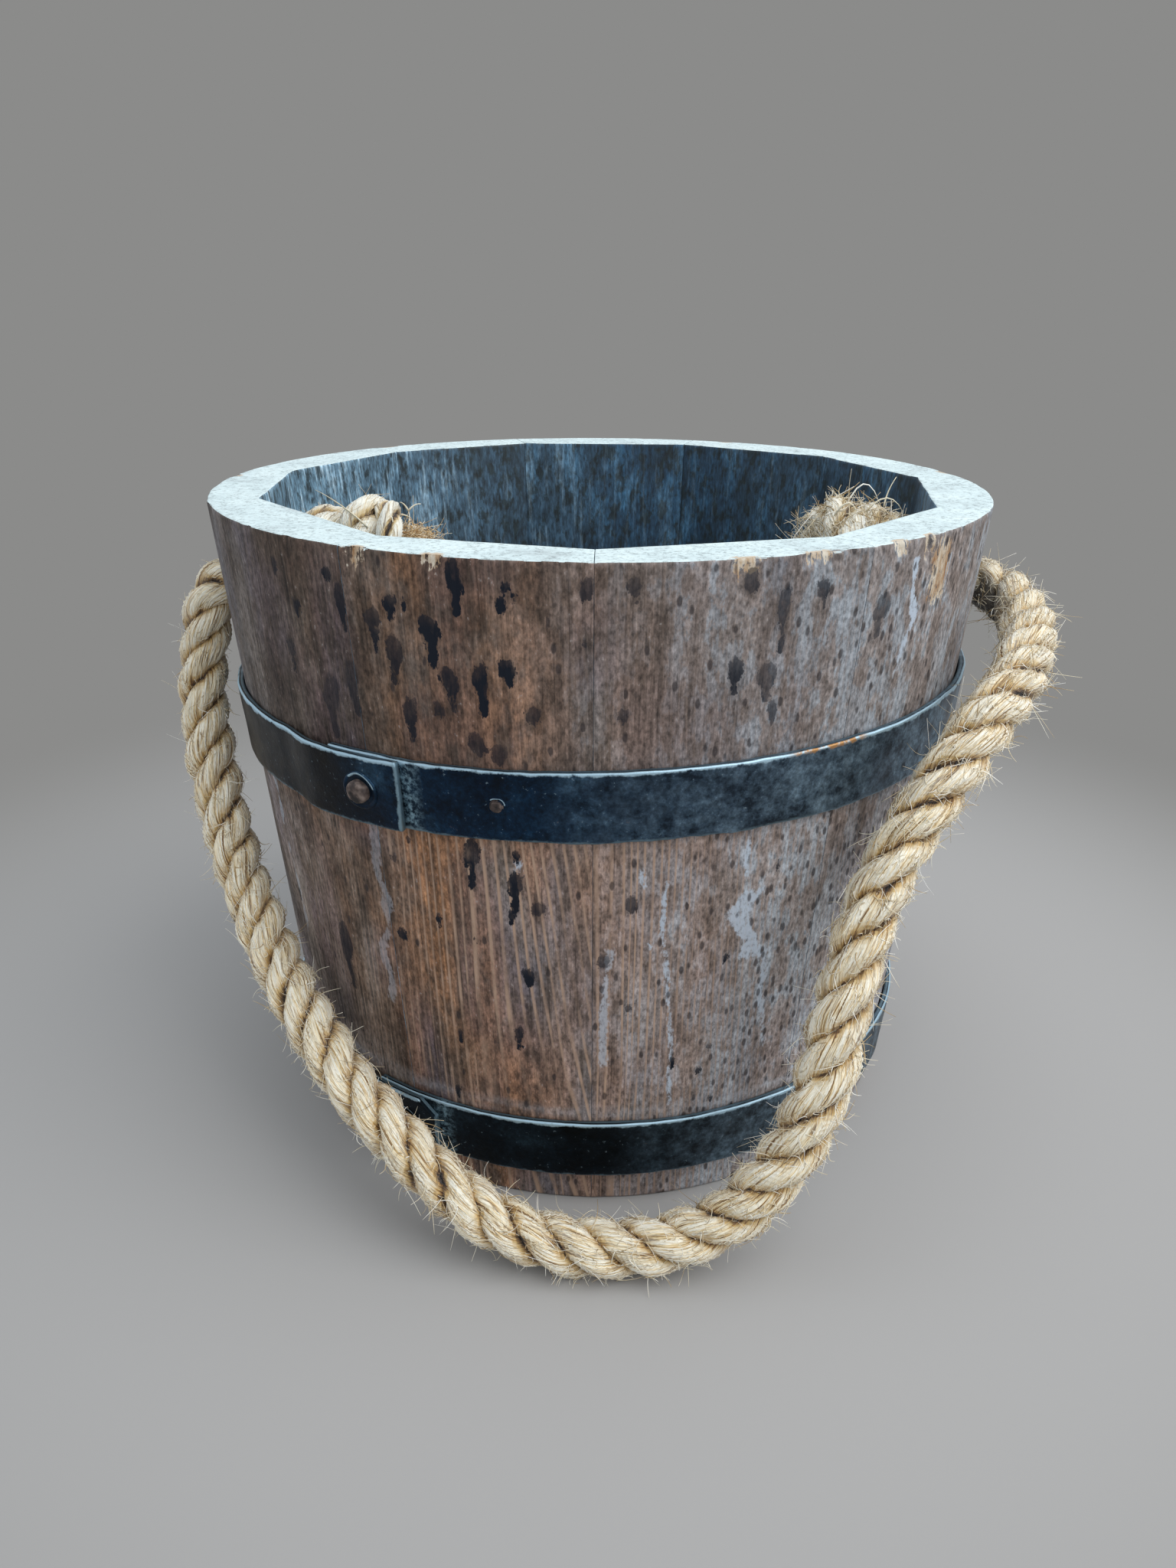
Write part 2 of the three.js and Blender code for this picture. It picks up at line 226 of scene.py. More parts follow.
# Pale runs of lime: angle, top, length and width in mm, lean in degrees and how pale
RUNS = ((-81.4, 170, 60, 4, 1.2, .7), (-80, 112, 58, 4, 1.4, .75), (-70.2, 189, 22, 5, .9, .7),
        (-68.6, 160, 34, 17, .5, .7), (-65.5, 130, 54, 5, 2.2, .6), (-88.5, 138, 60, 6, -.5, .45),
        (-121.5, 187, 95, 11, -3, .24), (-49, 290, 30, 8, 1.5, 1), (-47, 268, 28, 6, -2.5, .7),
        (-84.5, 176, 9, 4.5, 0, .7), (-83.2, 140, 8, 4.5, 0, .9), (-101, 178, 5, 4, 0, .7),
        (-40, 288, 22, 6, 0, .6), (20, 190, 90, 6, 1.5, .6), (65, 290, 50, 5, -1, .7),
        (95, 180, 100, 7, 2, .6), (140, 285, 45, 5, 1, .6), (172, 180, 70, 6, -2, .5),
        (-150, 180, 80, 7, 2, .4))
# How the wood changes round the bucket: angles in degrees, then the share of each at them
WARM = ((-161, -140, -120, -112, -98, -88, -60, -40, 20, 80, 140, 199),
        (.05, .08, .3, .8, .9, .6, .2, .45, .4, .6, .5, .25))
# Bleached grey, and painted light: the right side is painted paler, as the lamp lights it
BLEACH_AND_LIGHT = ((-161, -130, -104, -92, -84, -62, -40, 10, 70, 130, 199),
          (.3, .0, .05, .3, .6, .95, 1, .8, .5, .45, .3))
PITTED = ((-161, -100, -84, -66, -52, -35, 20, 80, 140, 199), (.05, .06, .25, .7, 1, .75, .2, .12, .25, .1))
RING_LINES = ((-161, -125, -114, -88, -76, -62, -40, 40, 100, 199),
              (.12, .4, .95, .95, .6, .25, .15, .45, .25, .12))
TONE_LOW = ((-161, -105, -92, 199), (1.18, 1.18, 1.04, 1.04))
TONE_HIGH = ((-161, -104, -80, 199), (0.8, 0.82, 0.87, 0.87))
# Dry and pale inside, and painted light: the left inside wall, which faces the lamp, is painted paler
DRY_AND_LIT_INSIDE = ((-161, -90, 0, 20, 40, 66, 84, 100, 112, 136, 150, 168, 199),
              (1, .4, .12, .1, .15, .05, .05, .22, .2, .5, .85, 1, 1))


def face_outwards(mesh, weld=False):
    """Turns a closed mesh's faces outwards, after welding points that lie in one place."""
    shell = bmesh.new()
    shell.from_mesh(mesh)
    if weld:
        bmesh.ops.remove_doubles(shell, verts=shell.verts, dist=1e-7)
    bmesh.ops.recalc_face_normals(shell, faces=shell.faces)
    shell.to_mesh(mesh)
    shell.free()
    return mesh


def tubes_mesh(name, points, uv=None):
    """Closed tubes from points stored tube by tube and ring by ring: quads run round and along each
    tube, and its first and last rings are capped."""
    tubes, rings, sides = points.shape[:3]
    first = np.arange(tubes)[:, None] * rings * sides
    walls = (grid_quads(rings, sides, wrap=True)[None] + first[..., None]).reshape(-1, 4)
    start = first + np.arange(sides)
    return face_outwards(mesh_of(name, points, [walls, start, start + (rings - 1) * sides], uv))


def carry(mesh, **marks):
    """Writes values as a mesh's own attributes, each one number for all points or one for each."""
    for name, values in marks.items():
        each = np.broadcast_to(np.ravel(values), len(mesh.vertices)).astype(np.float32)
        mesh.attributes.new(name, "FLOAT", "POINT").data.foreach_set("value", each)


def each_of(items, name):
    """A three-part property of every vertex or face of a mesh, one row for each."""
    values = np.empty(len(items) * 3)
    items.foreach_get(name, values)
    return values.reshape(-1, 3)


def piece_of(mesh, name, body, slot, materials, *nodes):
    """An object at the origin that rides on a body, takes the given finishes and stands for CAD nodes. slot
    is not used.
    """
    piece = placed(name, mesh)
    for material in materials:
        mesh.materials.append(material)
    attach(piece, body)
    if nodes:
        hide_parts(*nodes)
    return piece


def wander(x, y, seed):
    """Smooth random values from 0 to 1: random numbers on a square lattice of whole numbers that
    repeats, blended between lattice points with an s-shaped weight."""
    lattice = np.random.default_rng(seed).random((LATTICE, LATTICE))
    i, j = np.floor(x).astype(int), np.floor(y).astype(int)
    s, t = (v * v * (3 - 2 * v) for v in (x - i, y - j))
    i, j, i1, j1 = (v % LATTICE for v in (i, j, i + 1, j + 1))
    near = lattice[i, j] * (1 - s) + lattice[i1, j] * s
    return near * (1 - t) + (lattice[i, j1] * (1 - s) + lattice[i1, j1] * s) * t


def wall_radius(z):
    """Radius of the staves' outside at a height: straight from the base's to the rim's."""
    return BASE_RADIUS + (RIM_RADIUS - BASE_RADIUS) * z / HEIGHT


def stations(length, step, edge):
    """Places from 0 to a length: the edge's own at each end, and about a step apart between."""
    edge = np.array(edge, float)
    count = max(2, round((length - 2 * edge[-1]) / step))
    middle = np.linspace(edge[-1], length - edge[-1], count + 1)
    return np.concatenate([edge[:-1], middle, length - edge[-2::-1]])


def rounding(first, second, radius):
    """How far a rounded edge pulls a point in along its distances from the edge's two faces: a
    point outside the circle that touches both faces moves straight onto it."""
    u, v = np.maximum(radius - first, 0), np.maximum(radius - second, 0)
    reach = np.hypot(u, v) + 1e-9
    pull = np.maximum(reach - radius, 0) / reach
    return pull * u, pull * v


def chip_reach(angle, z):
    """Millimetres inside the nearest chip's outline, negative outside: each chip is a rounded box, the
    fourth root of fourth powers, that hangs from the rim."""
    arc = np.radians(angle) * RIM_RADIUS
    reach = np.full_like(z, NO_MARK)
    for middle, width, height, _ in RIM_CHIPS:
        away = (arc - math.radians(middle) * RIM_RADIUS) / (width / 2)
        box = (away ** 4 + ((HEIGHT - z) / height) ** 4) ** 0.25
        reach = np.maximum(reach, (1 - box) * min(width / 2, height))
    return reach


def rim_chipping(angle, z):
    """Depth of the chips in the outer edge at an angle and height: each named chip a flat-topped
    bump that fades below the rim, and small nicks where two fine random lines are both high."""
    arc, below = np.radians(angle) * RIM_RADIUS, HEIGHT - z
    depth = np.zeros_like(z)
    for middle, width, height, deep in RIM_CHIPS:
        away = (arc - math.radians(middle) * RIM_RADIUS) / (width / 2) + wander(z / 2.5, arc / 3, 5) - 0.5
        depth = np.maximum(depth, deep * np.exp(-away ** 4 - (below / height) ** 4))
    nicks = wander(arc / 2.3 + 40, 0, 6) * wander(arc / 9.1 + 9, 0, 7)
    return depth + 1.8 * np.clip(nicks - 0.42, 0, 1) * np.exp(-(below / 2.6) ** 2)


def stave_points(a, b, z, first, last, number):
    """Points of a stave from the share of its width a, the share of its depth from the outside b,
    and the height z: an arc outside and a straight chord inside, joined by straight lines, with
    rounded edges, the outside worn in long shallow ridges, the rim chipped and the groove cut."""
    first, last = math.radians(first), math.radians(last)
    radius = wall_radius(z)
    width = (last - first) * radius

    def between(share, deep):
        """The arc's point moved towards the chord's by a depth in millimetres."""
        turn = first + share * (last - first)
        chord = [(radius - WALL) * (t(first) * (1 - share) + t(last) * share) for t in (np.cos, np.sin)]
        arc = [radius * np.cos(turn), radius * np.sin(turn)]
        thick = np.hypot(arc[0] - chord[0], arc[1] - chord[1])
        return thick, [p + (q - p) * deep / thick for p, q in zip(arc, chord)]

    thick = between(a, 0)[0]
    side_a, side_b = a * width, (1 - a) * width
    outside, inside = b * thick, (1 - b) * thick
    top, foot = HEIGHT - z, z
    angle = np.degrees(first + a * (last - first))
    arc = np.radians(angle) * RIM_RADIUS
    wear = EDGE_WEAR + 0.9 * wander(arc / 9, 0, 20 + number)
    deep, high, over = outside.copy(), z.copy(), side_a.copy()
    for near, up, round_by, way, rise in (
            (outside, top, wear, 1, -1), (inside, top, RIM_INNER_ROUND, -1, -1),
            (outside, foot, FOOT_OUTER_ROUND, 1, 1), (inside, foot, FOOT_INNER_ROUND, -1, 1)):
        p, q = rounding(near, up, round_by)
        deep, high = deep + way * p, high + rise * q
    for edge, way in ((side_a, 1), (side_b, -1)):
        for near, turn in ((outside, 1), (inside, -1)):
            p, q = rounding(edge, near, SIDE_ROUND)
            over, deep = over + way * p, deep + turn * q
        p, q = rounding(edge, np.minimum(top, foot), END_ROUND)
        over, high = over + way * p, high + np.where(top < foot, -1, 1) * q
        over = over + way * JOINT_GAP * np.exp(-edge / 3)
    edge_fade = np.clip(np.minimum(side_a, side_b) / 6, 0, 1)
    ridges = (0.9 * wander(arc / 34 + 7 * number, z / 150, 31) * edge_fade
              + 0.2 * wander(arc / 3.4, z / 75 + 5 * number, 32) * edge_fade
              + 0.14 * wander(arc / 1.9, z / 46, 33))
    deep = deep + (0.55 * ridges + rim_chipping(angle, z)) * (1 - b) ** 6
    groove = GROOVE_DEPTH * ((z > GROOVE_FOOT) & (z < GROOVE_TOP))
    deep = deep - (0.5 * wander(arc / 11, z / 70 + 3 * number, 34) - groove) * b ** 6
    x, y = between(over / width, deep)[1]
    return np.stack([x, y, high], -1)


def stave_mesh(first, last, number):
    """A closed stave: six grids of shares and heights, one for each side of a block, welded."""
    width = math.radians(last - first) * RIM_RADIUS
    across = stations(width, STEP_ACROSS, (0, 0.15, 0.4, 1)) / width
    through = stations(THROUGH, STEP_THROUGH, (0, 0.35, 0.9, 1.7, 2.7)) / THROUGH
    upward = stations(HEIGHT, STEP_UP, (0, 0.4, 1, 1.8, 2.8, 4))
    steps = np.add.outer((GROOVE_FOOT, GROOVE_TOP), (-0.1, 0.1)).ravel()
    upward = np.unique(np.concatenate([upward, steps]))
    none, full = np.zeros(1), np.ones(1)
    sides = ((across, none, upward), (across, full, upward), (none, through, upward),
             (full, through, upward), (across, through, upward[-1:]), (across, through, upward[:1]))
    points, faces, count = [], [], 0
    for shares, crease_shade, heights in sides:
        a, b, z = (g.ravel() for g in np.meshgrid(shares, crease_shade, heights, indexing="ij"))
        points.append(stave_points(a, b, z, first, last, number))
        shape = [len(s) for s in (shares, crease_shade, heights) if len(s) > 1]
        faces.append(grid_quads(*shape) + count)
        count += len(a)
    return face_outwards(mesh_of("stave", np.concatenate(points), [np.concatenate(faces)]), weld=True)


def bore_hole(piece, side):
    """Cuts the rope's hole along X through a stave on one side with a round drill."""
    turn = np.linspace(0, 2 * math.pi, DRILL_SIDES, endpoint=False)
    y, z = HOLE_Y + HOLE_RADIUS * np.cos(turn), HOLE_Z + HOLE_RADIUS * np.sin(turn)
    ends = np.stack([np.stack([0 * turn + side * x, y, z], -1) for x in DRILL_ENDS])
    drill = placed("drill", tubes_mesh("drill", ends[None]))
    cut = piece.modifiers.new("hole", "BOOLEAN")
    cut.object = drill
    cut.solver = "EXACT"
    depsgraph = bpy.context.evaluated_depsgraph_get()
    piece.data = bpy.data.meshes.new_from_object(piece.evaluated_get(depsgraph))
    piece.modifiers.clear()
    bpy.data.objects.remove(drill)
    piece.data.shade_smooth()


def drop_reach(arc, z, angle, top, length, width):
    """Millimetres inside a drop's outline, negative outside: the greater of an oval head at the top
    and a thin run with a round end below it, both swaying a little."""
    sway = 0.35 * width * (wander(z / 9 + angle, 0, 51) - 0.5)
    across = np.abs(arc - math.radians(angle) * ARC_RADIUS - sway)
    wide, high = 0.57 * width, min(0.5 * length, max(0.31 * length, 0.8 * width))
    head = (1 - np.hypot(across / wide, (z - top + high) / high)) * min(wide, high)
    thin = 0.45 * wide
    beyond = np.maximum(np.maximum(top - length + thin - z, z - top + high), 0)
    return np.maximum(head, thin - np.hypot(across, beyond))


def run_reach(arc, z, angle, top, length, width, drift):
    """Millimetres inside a run's outline, negative outside: a leaning band whose middle and width
    both wander down its length, with rounded ends."""
    t = np.clip((top - z) / length, 0, 1)
    wobble = width * 0.7 * (wander(z / 14 + angle, 0, 71) - 0.5)
    half = width / 2 * (0.05 + 0.85 * wander(z / 9, angle, 72))
    across = np.abs(arc - np.radians(angle + drift * t) * ARC_RADIUS - wobble)
    return np.minimum(half - across, np.minimum(top - z, z - top + length) * 0.6)


def deepest(marks):
    """Of marks that are each a reach and a strength at every point, the greatest reach, held between
    the limits, and the strength of the mark that has it."""
    far, strong = NO_MARK, 0.0
    for reach, strength in marks:
        strong = np.where(reach > far, strength, strong)
        far = np.maximum(far, reach)
    return np.minimum(far, -NO_MARK), strong


def mark_stave(mesh, number):
    """Writes what the wood carries at each point: arc and height as the UV, and as attributes the
    growth rings, drops, lime runs, chips, stains, pits, bleaching that also paints the right side
    paler as lit, and dryness that also paints the inside's left wall paler as lit. Each face gets
    its finish by the way that it looks: out, up from the rim, or in."""
    x, y, z = each_of(mesh.vertices, "co").T * 1000
    angle = np.degrees(np.arctan2(y, x))
    angle = np.where(angle < FIRST_ANGLE, angle + 360, angle)
    arc = np.radians(angle) * ARC_RADIUS
    low, high = JOINT_ANGLES[number - 1:number + 1]
    chance = np.random.default_rng(300 + number)
    unseen = number > SEEN_STAVES
    heart = chance.choice((-1, 1)) * chance.uniform(62, 110)
    depth, lean = chance.uniform(10, 40), chance.uniform(-0.06, 0.06)
    spacing = WIDE_RINGS.get(number, chance.uniform(1.7, 2.6))
    over = np.radians(angle - (low + high) / 2) * wall_radius(z)
    fan = 0.1 * (190 - z) * np.clip((over + 8) / 34, 0, 1) if number == 2 else lean * z
    uneven = 4 * wander(arc / 26, z / 90, 60 + number) + 3.2 * wander(arc / 6.5, z / 240, 80 + number)
    rings = (np.hypot(over - heart, depth) + fan * np.sign(heart) + uneven) / spacing
    drops = list(DROPS)
    for _ in range(18 if unseen else 9):
        at = chance.uniform(low + 2, high - 2)
        top = chance.uniform(*((20, 292) if unseen else (52, 186)))
        size = chance.uniform(1.6, 5.5 if unseen else 2.8)
        drops.append((at, top, size * chance.uniform(1.3, 3), size, chance.uniform(.5, 1)))
    drop, dark = deepest((drop_reach(arc, z, at, top, length, width),
                          (0.25 + 0.75 * soak) * np.clip(0.8 + 0.35 * (top - z) / length, 0.7, 1))
                         for at, top, length, width, soak in drops)
    lime, pale = deepest((run_reach(arc, z, *run), strength) for *run, strength in RUNS)
    wash = 0.7 * np.exp(-((z - LOWER_HOOP_TOP - 4) / 2.6) ** 2) * wander(arc / 12, z / 2, 70)
    flaked = (1 - (((angle - FLAKED[0]) / FLAKED[1]) ** 4 + ((z - FLAKED[2]) / FLAKED[3]) ** 4) ** 0.25) * 8
    chip = np.clip(np.maximum(chip_reach(angle, z), flaked), NO_MARK, -NO_MARK)
    below = UPPER_HOOP_FOOT - z
    under = np.clip(1 - below / 14, 0, 1) * (below > -4)
    warm = np.interp(angle, *WARM) * np.where(below < -1, .8, 1.3)
    warm = warm * (1.7 * wander(arc / 11, z / 60, 75) - 0.12) + 0.7 * under
    # Bleached grey towards the right, and painted light there too: that side is painted paler as lit
    bleach = np.interp(angle, *BLEACH_AND_LIGHT) * (0.55 + 0.8 * wander(arc / 15, z / 34, 76))
    carry(mesh, rings=rings, drop=drop, dark=dark, lime=lime, pale=pale, wash=wash,
          chip=np.where(wall_radius(z) - np.hypot(x, y) < SKIN, chip, NO_MARK),
          warm=np.clip(warm, 0, 1), bleach=np.clip(bleach, 0, 1),
          purple=np.clip(2.6 * wander(arc / 17 + 20, z / 38, 77) - 0.85, 0, 1),
          pitted=np.interp(angle, *PITTED) * np.where(below > 3, 1, 0.55),
          lines=np.where(below > -1, np.interp(angle, *RING_LINES), 0.1),
          tone=np.where(below > 1, np.interp(angle, *TONE_LOW), np.interp(angle, *TONE_HIGH)),
          dry=np.interp(angle, *DRY_AND_LIT_INSIDE), slice=STAVE_SLICE * number)
    corner = np.empty(len(mesh.loops), np.int32)
    mesh.loops.foreach_get("vertex_index", corner)
    layer = mesh.uv_layers.new(name="surface")
    layer.data.foreach_set("uv", np.stack([arc, z], -1)[corner].ravel() / 1000)
    facing, centre = each_of(mesh.polygons, "normal"), each_of(mesh.polygons, "center") * 1000
    outward = (facing[:, :2] * centre[:, :2]).sum(1) / np.hypot(centre[:, 0], centre[:, 1])
    finish = np.where(outward > LOOKS_OUT, OUTSIDE, INSIDE)
    finish = np.where((facing[:, 2] > LOOKS_UP) & (centre[:, 2] > NEAR_RIM), RIM, finish)
    finish = np.where((facing[:, 2] < LOOKS_DOWN) & (centre[:, 2] < NEAR_FOOT), OUTSIDE, finish)
    mesh.polygons.foreach_set("material_index", finish.astype(np.int32))


# Weathered softwood: brown gone grey and purple, fine upright grain about 1 mm apart, ring lines
# 2 to 4 mm apart that stand out pale, black drops, lime runs and short slanting pits. The grey on the
# right is partly bleaching and partly painted light.
outside_wood, wood = bare("weathered_softwood_outside")
wood_place = wood("VectorMath", (wood("UVMap", uv_map="surface"), wood("CombineXYZ", {"Z": "slice"})))
fibre, streak, patch, speckle, mottle = (
    wood("TexNoise", {"Vector": wood("Mapping", {"Vector": wood_place, "Scale": scale}), "Scale": 1.0,
                      "Detail": detail, "Roughness": 0.68})
    for scale, detail in (((820, 18, 9), 4), ((210, 8, 9), 3), ((42, 16, 9), 6), ((620, 330, 9), 3),
                          ((170, 64, 9), 6)))
foxy = wood("ValToRGB", {0: mottle}, stops=((.38, "#68472f"), (.5, "#805839"), (.62, "#946a4a")))
# Pale grey of the bleached wood, which also paints the right side paler as lit
bleached_and_lit = wood("ValToRGB", {0: wood("Math", (patch, mottle))},
                stops=((.84, "#a09590"), (1.0, "#9a9696"), (1.16, "#94999f")))
calm = wood("MapRange", ("bleach", .2, .9, 1.0, .4))
grain = [(share, wood("ValToRGB", {0: noise}, stops=stops), "MULTIPLY") for share, noise, stops in (
    (calm, streak, ((.3, .78), (.5, .99), (.7, 1.18))), (calm, fibre, ((.3, .54), (.5, 1.02), (.7, 1.42))),
    (1.0, mottle, ((.34, .76), (.48, 1.0), (.66, 1.17))),
    (1.0, speckle, ((.33, .52), (.5, 1.04), (.67, 1.5))))]
ring_share = wood("Math", {0: "rings"}, operation="FRACT")
ring_line = wood("ValToRGB", {0: ring_share},
                 stops=((0, 0.0), (.56, .0), (.74, 1.0), (.86, 1.0), (.96, 0.0)))
blots = wood("Math", (mottle, speckle))
lime = wood("Math", ("lime", (blots, .7, 1.3, -1.4, 1.5)))
drop = wood("Math", ("drop", (blots, .7, 1.3, -1.7, 1.5)))
torn = wood("Math", ("chip", (wood("Math", (fibre, speckle)), .7, 1.35, -4.5, 2.6)))
fresh_wood = wood("ValToRGB", {0: mottle}, stops=((.35, "#926943"), (.47, "#b49d82"), (.58, "#d2c8b7")))
pit_place = wood("Mapping", {"Vector": wood_place, "Rotation": (0, 0, -0.42), "Scale": (310, 150, 9)})
pit_cells = {"Vector": pit_place, "Scale": 1.0, "Randomness": 0.95}
pit_luck = wood("SeparateColor", {0: wood("TexVoronoi", pit_cells, "Color")})
pit_near = (wood("TexVoronoi", pit_cells, "Distance"), .38, .24)
pit_there = wood("Math", (["pitted", .75], pit_luck), operation="GREATER_THAN")
pit = wood("Math", (pit_near, pit_there), operation="MULTIPLY")
colour = wood("ValToRGB", {0: patch}, stops=((.33, "#292220"), (.48, "#54483f"), (.65, "#81766e")))
for share, laid, *blend in (
        (["purple", (mottle, .35, .6, .2, .85)], "#564b50"),
        (["warm", (mottle, .36, .6, .5, .92)], foxy),
        (["bleach", (mottle, .34, .62, .45, 1.0)], bleached_and_lit),
        *grain,
        (1.0, "tone", "MULTIPLY"),
        ((fibre, .36, .3, 0.0, .45), "#231c1b"),
        ([ring_line, ["lines", (patch, .4, .56, .15, 1.0)]], "#b0937e"),
        (["wash", (speckle, .3, .7, .2, 1.15)], "#b4b6bc"),
        ([(lime, -.2, .9), "pale", (speckle, .32, .5, .45, 1.15)], "#b4bfcc"),
        ((speckle, .66, .72, 0.0, .5), "#aca5a2"),
        ((torn, .0, .5), fresh_wood),
        ([pit, .75], "#2c2729"),
        ([(drop, -.25, .3), ["dark", (mottle, .36, .56, .78, 1.12)]], "#09111e")):
    colour = wood("Mix", {0: share, 6: colour, 7: laid}, 2, data_type="RGBA",
                  blend_type=(*blend, "MIX")[0])
relief = wood("Math", (wood("Math", (fibre, [pit, -0.7])), [ring_line, .2]))
wood("OutputMaterial", {"Surface": wood("BsdfPrincipled", {
    "Base Color": colour, "Roughness": (streak, .3, .7, .6, .8), "Specular IOR Level": 0.25,
    "Normal": wood("Bump", {"Strength": 0.5, "Distance": 0.0006, "Height": relief})})})

# Sawn end grain bleached by the weather: pale and bluish, finely speckled by the open pores
rim_wood, rim = bare("bleached_end_grain")
rim_place = rim("TexCoord", out="Object")
pores, clouds = (
    rim("TexNoise", {"Vector": rim_place, "Scale": scale, "Detail": detail, "Roughness": rough})
    for scale, detail, rough in ((520.0, 3.0, 0.7), (46.0, 5.0, 0.65)))
shade = rim("ValToRGB", {0: pores}, stops=((.34, .5), (.46, .86), (.66, 1.0)))
torn = rim("Math", ("chip", (pores, .3, .7, -2.6, 1.6)))
colour = rim("ValToRGB", {0: clouds}, stops=((.34, "#c3d0d1"), (.45, "#d3e3e4"), (.66, "#dfeeee")))
for share, laid, *blend in ((1.0, shade, "MULTIPLY"), ((torn, .2, .8, 0.0, .8), "#c2a98c")):
    colour = rim("Mix", {0: share, 6: colour, 7: laid}, 2, data_type="RGBA",
                 blend_type=(*blend, "MIX")[0])
rim("OutputMaterial", {"Surface": rim("BsdfPrincipled", {
    "Base Color": colour, "Roughness": 0.85,
    "Normal": rim("Bump", {"Strength": 0.5, "Distance": 0.0005, "Height": pores})})})

# Softwood stained blue-black by long use: flat and damp looking, mouldy in dark patches, with upright
# streaks where it dried pale. The left inside wall, which faces the lamp, is painted paler: partly dried
# wood and partly painted light.
inside_wood, damp = bare("blue_black_stained_wood")
in_place = damp("VectorMath", (damp("UVMap", uv_map="surface"), damp("CombineXYZ", {"Z": "slice"})))
in_streak, in_fine, in_cloud, in_mould = (
    damp("TexNoise", {"Vector": damp("Mapping", {"Vector": in_place, "Scale": scale}), "Scale": 1.0,
                      "Detail": 4.0, "Roughness": 0.64})
    for scale in ((520, 24, 9), (640, 190, 9), (44, 18, 9), (200, 110, 9)))
streaks = (damp("Math", (in_streak, in_cloud)), 1.02, 1.18)
shade = damp("ValToRGB", {0: in_fine}, stops=((.34, .37), (.5, .87), (.66, 1.48)))
colour = damp("ValToRGB", {0: in_cloud}, stops=((.33, "#09202d"), (.5, "#15364e"), (.67, "#275a7a")))
for share, laid, *blend in (
        # Paler where dry, and painted light on the left inside wall that faces the lamp
        (["dry", (in_cloud, .3, .6, .35, 1.0)], "#7ea2b7"),
        ((in_mould, .5, .6, 0.0, .8), "#16211f"),
        ([streaks, ("dry", .1, .9, .08, .9)], "#b3d0e1"),
        (1.0, shade, "MULTIPLY")):
    colour = damp("Mix", {0: share, 6: colour, 7: laid}, 2, data_type="RGBA",
                  blend_type=(*blend, "MIX")[0])
damp("OutputMaterial", {"Surface": damp("BsdfPrincipled", {
    "Base Color": colour, "Roughness": (in_cloud, .3, .7, .5, .75),
    "Normal": damp("Bump", {"Strength": 0.45, "Distance": 0.0005, "Height": in_fine})})})

for number in range(1, len(JOINT_ANGLES)):
    mesh = stave_mesh(JOINT_ANGLES[number - 1], JOINT_ANGLES[number], number)
    stave = piece_of(mesh, f"stave_wood_{number:02d}", "bucket", "stave_wood",
                     (outside_wood, rim_wood, inside_wood), f"stave_{number:02d}")
    if number in HOLED_STAVES:
        bore_hole(stave, HOLED_STAVES[number])
    mark_stave(stave.data, number)


# The bottom. Three softwood boards lie edge to edge, cut round together and bevelled to a thin lip
# that sits in the groove of the staves. They have the same dark stain as the inside.
BOTTOM_LIFT, BOTTOM_THICK, LIP_THICK, LIP_REACH = 22.0, 18.0, 8.0, 3.2
BEVEL = 13.5
BOARD_SEAM, SEAM_GAP = 46.0, 0.1
LEFT_SHORT, RIGHT_SHORT = 4.0, 2.5
BOARD_STEP, BOARD_ROW, BOARD_LENGTH = 2.2, 2.6, 300
FIRST_BOARD_SLICE = 31.3


def board_mesh(left, right):
    """A board from one seam to the next: y runs between the lines of the staves' flat insides, the
    top is a height over (x, y) that slopes up from the lip over the bevel, and the foot is flat."""
    corner = np.radians(JOINT_ANGLES)
    middle = (corner[1:] + corner[:-1]) / 2
    nx, ny = np.cos(middle), np.sin(middle)
    distance = (wall_radius(BOTTOM_LIFT + LIP_THICK) - WALL) * np.cos((corner[1:] - corner[:-1]) / 2)
    x = stations(right - left, BOARD_STEP, (0, 0.3, 0.9, 1.8)) + left
    limit = (distance + LIP_REACH - np.outer(x, nx)) / ny
    high = np.where(ny > 0.02, limit, 1e9).min(1)
    low = np.where(ny < -0.02, limit, -1e9).max(1)
    centre = (high + low) / 2
    high, low = np.maximum(high, centre + 0.3), np.minimum(low, centre - 0.3)
    share = stations(BOARD_LENGTH, BOARD_ROW, (0, 0.3, 0.9, 1.8, 3.2, 4.6)) / BOARD_LENGTH
    gx = np.repeat(x[:, None], len(share), 1)
    gy = low[:, None] + (high - low)[:, None] * share
    inward = np.min(distance - gx[..., None] * nx - gy[..., None] * ny, -1)
    top = BOTTOM_LIFT + LIP_THICK + (BOTTOM_THICK - LIP_THICK) * np.clip(inward / BEVEL, 0, 1)
    eased = rounding(np.minimum(gx - left, right - gx), 0, 0.9)[1]
    top = top - eased - 0.35 * wander(gx / 5, gy / 80, 81)
    points = np.concatenate([np.stack([gx, gy, h], -1).reshape(-1, 3) for h in (top, BOTTOM_LIFT + eased)])
    index = np.arange(gx.size).reshape(gx.shape)
    rim = np.concatenate([index[0, :-1], index[:-1, -1], index[-1, :0:-1], index[:0:-1, 0]])
    ring = np.roll(rim, -1)
    wall = np.stack([rim, ring, ring + gx.size, rim + gx.size], -1)
    sheet = grid_quads(*gx.shape)
    return face_outwards(mesh_of("board", points, [sheet, sheet + gx.size, wall], points[:, :2] / 1000))


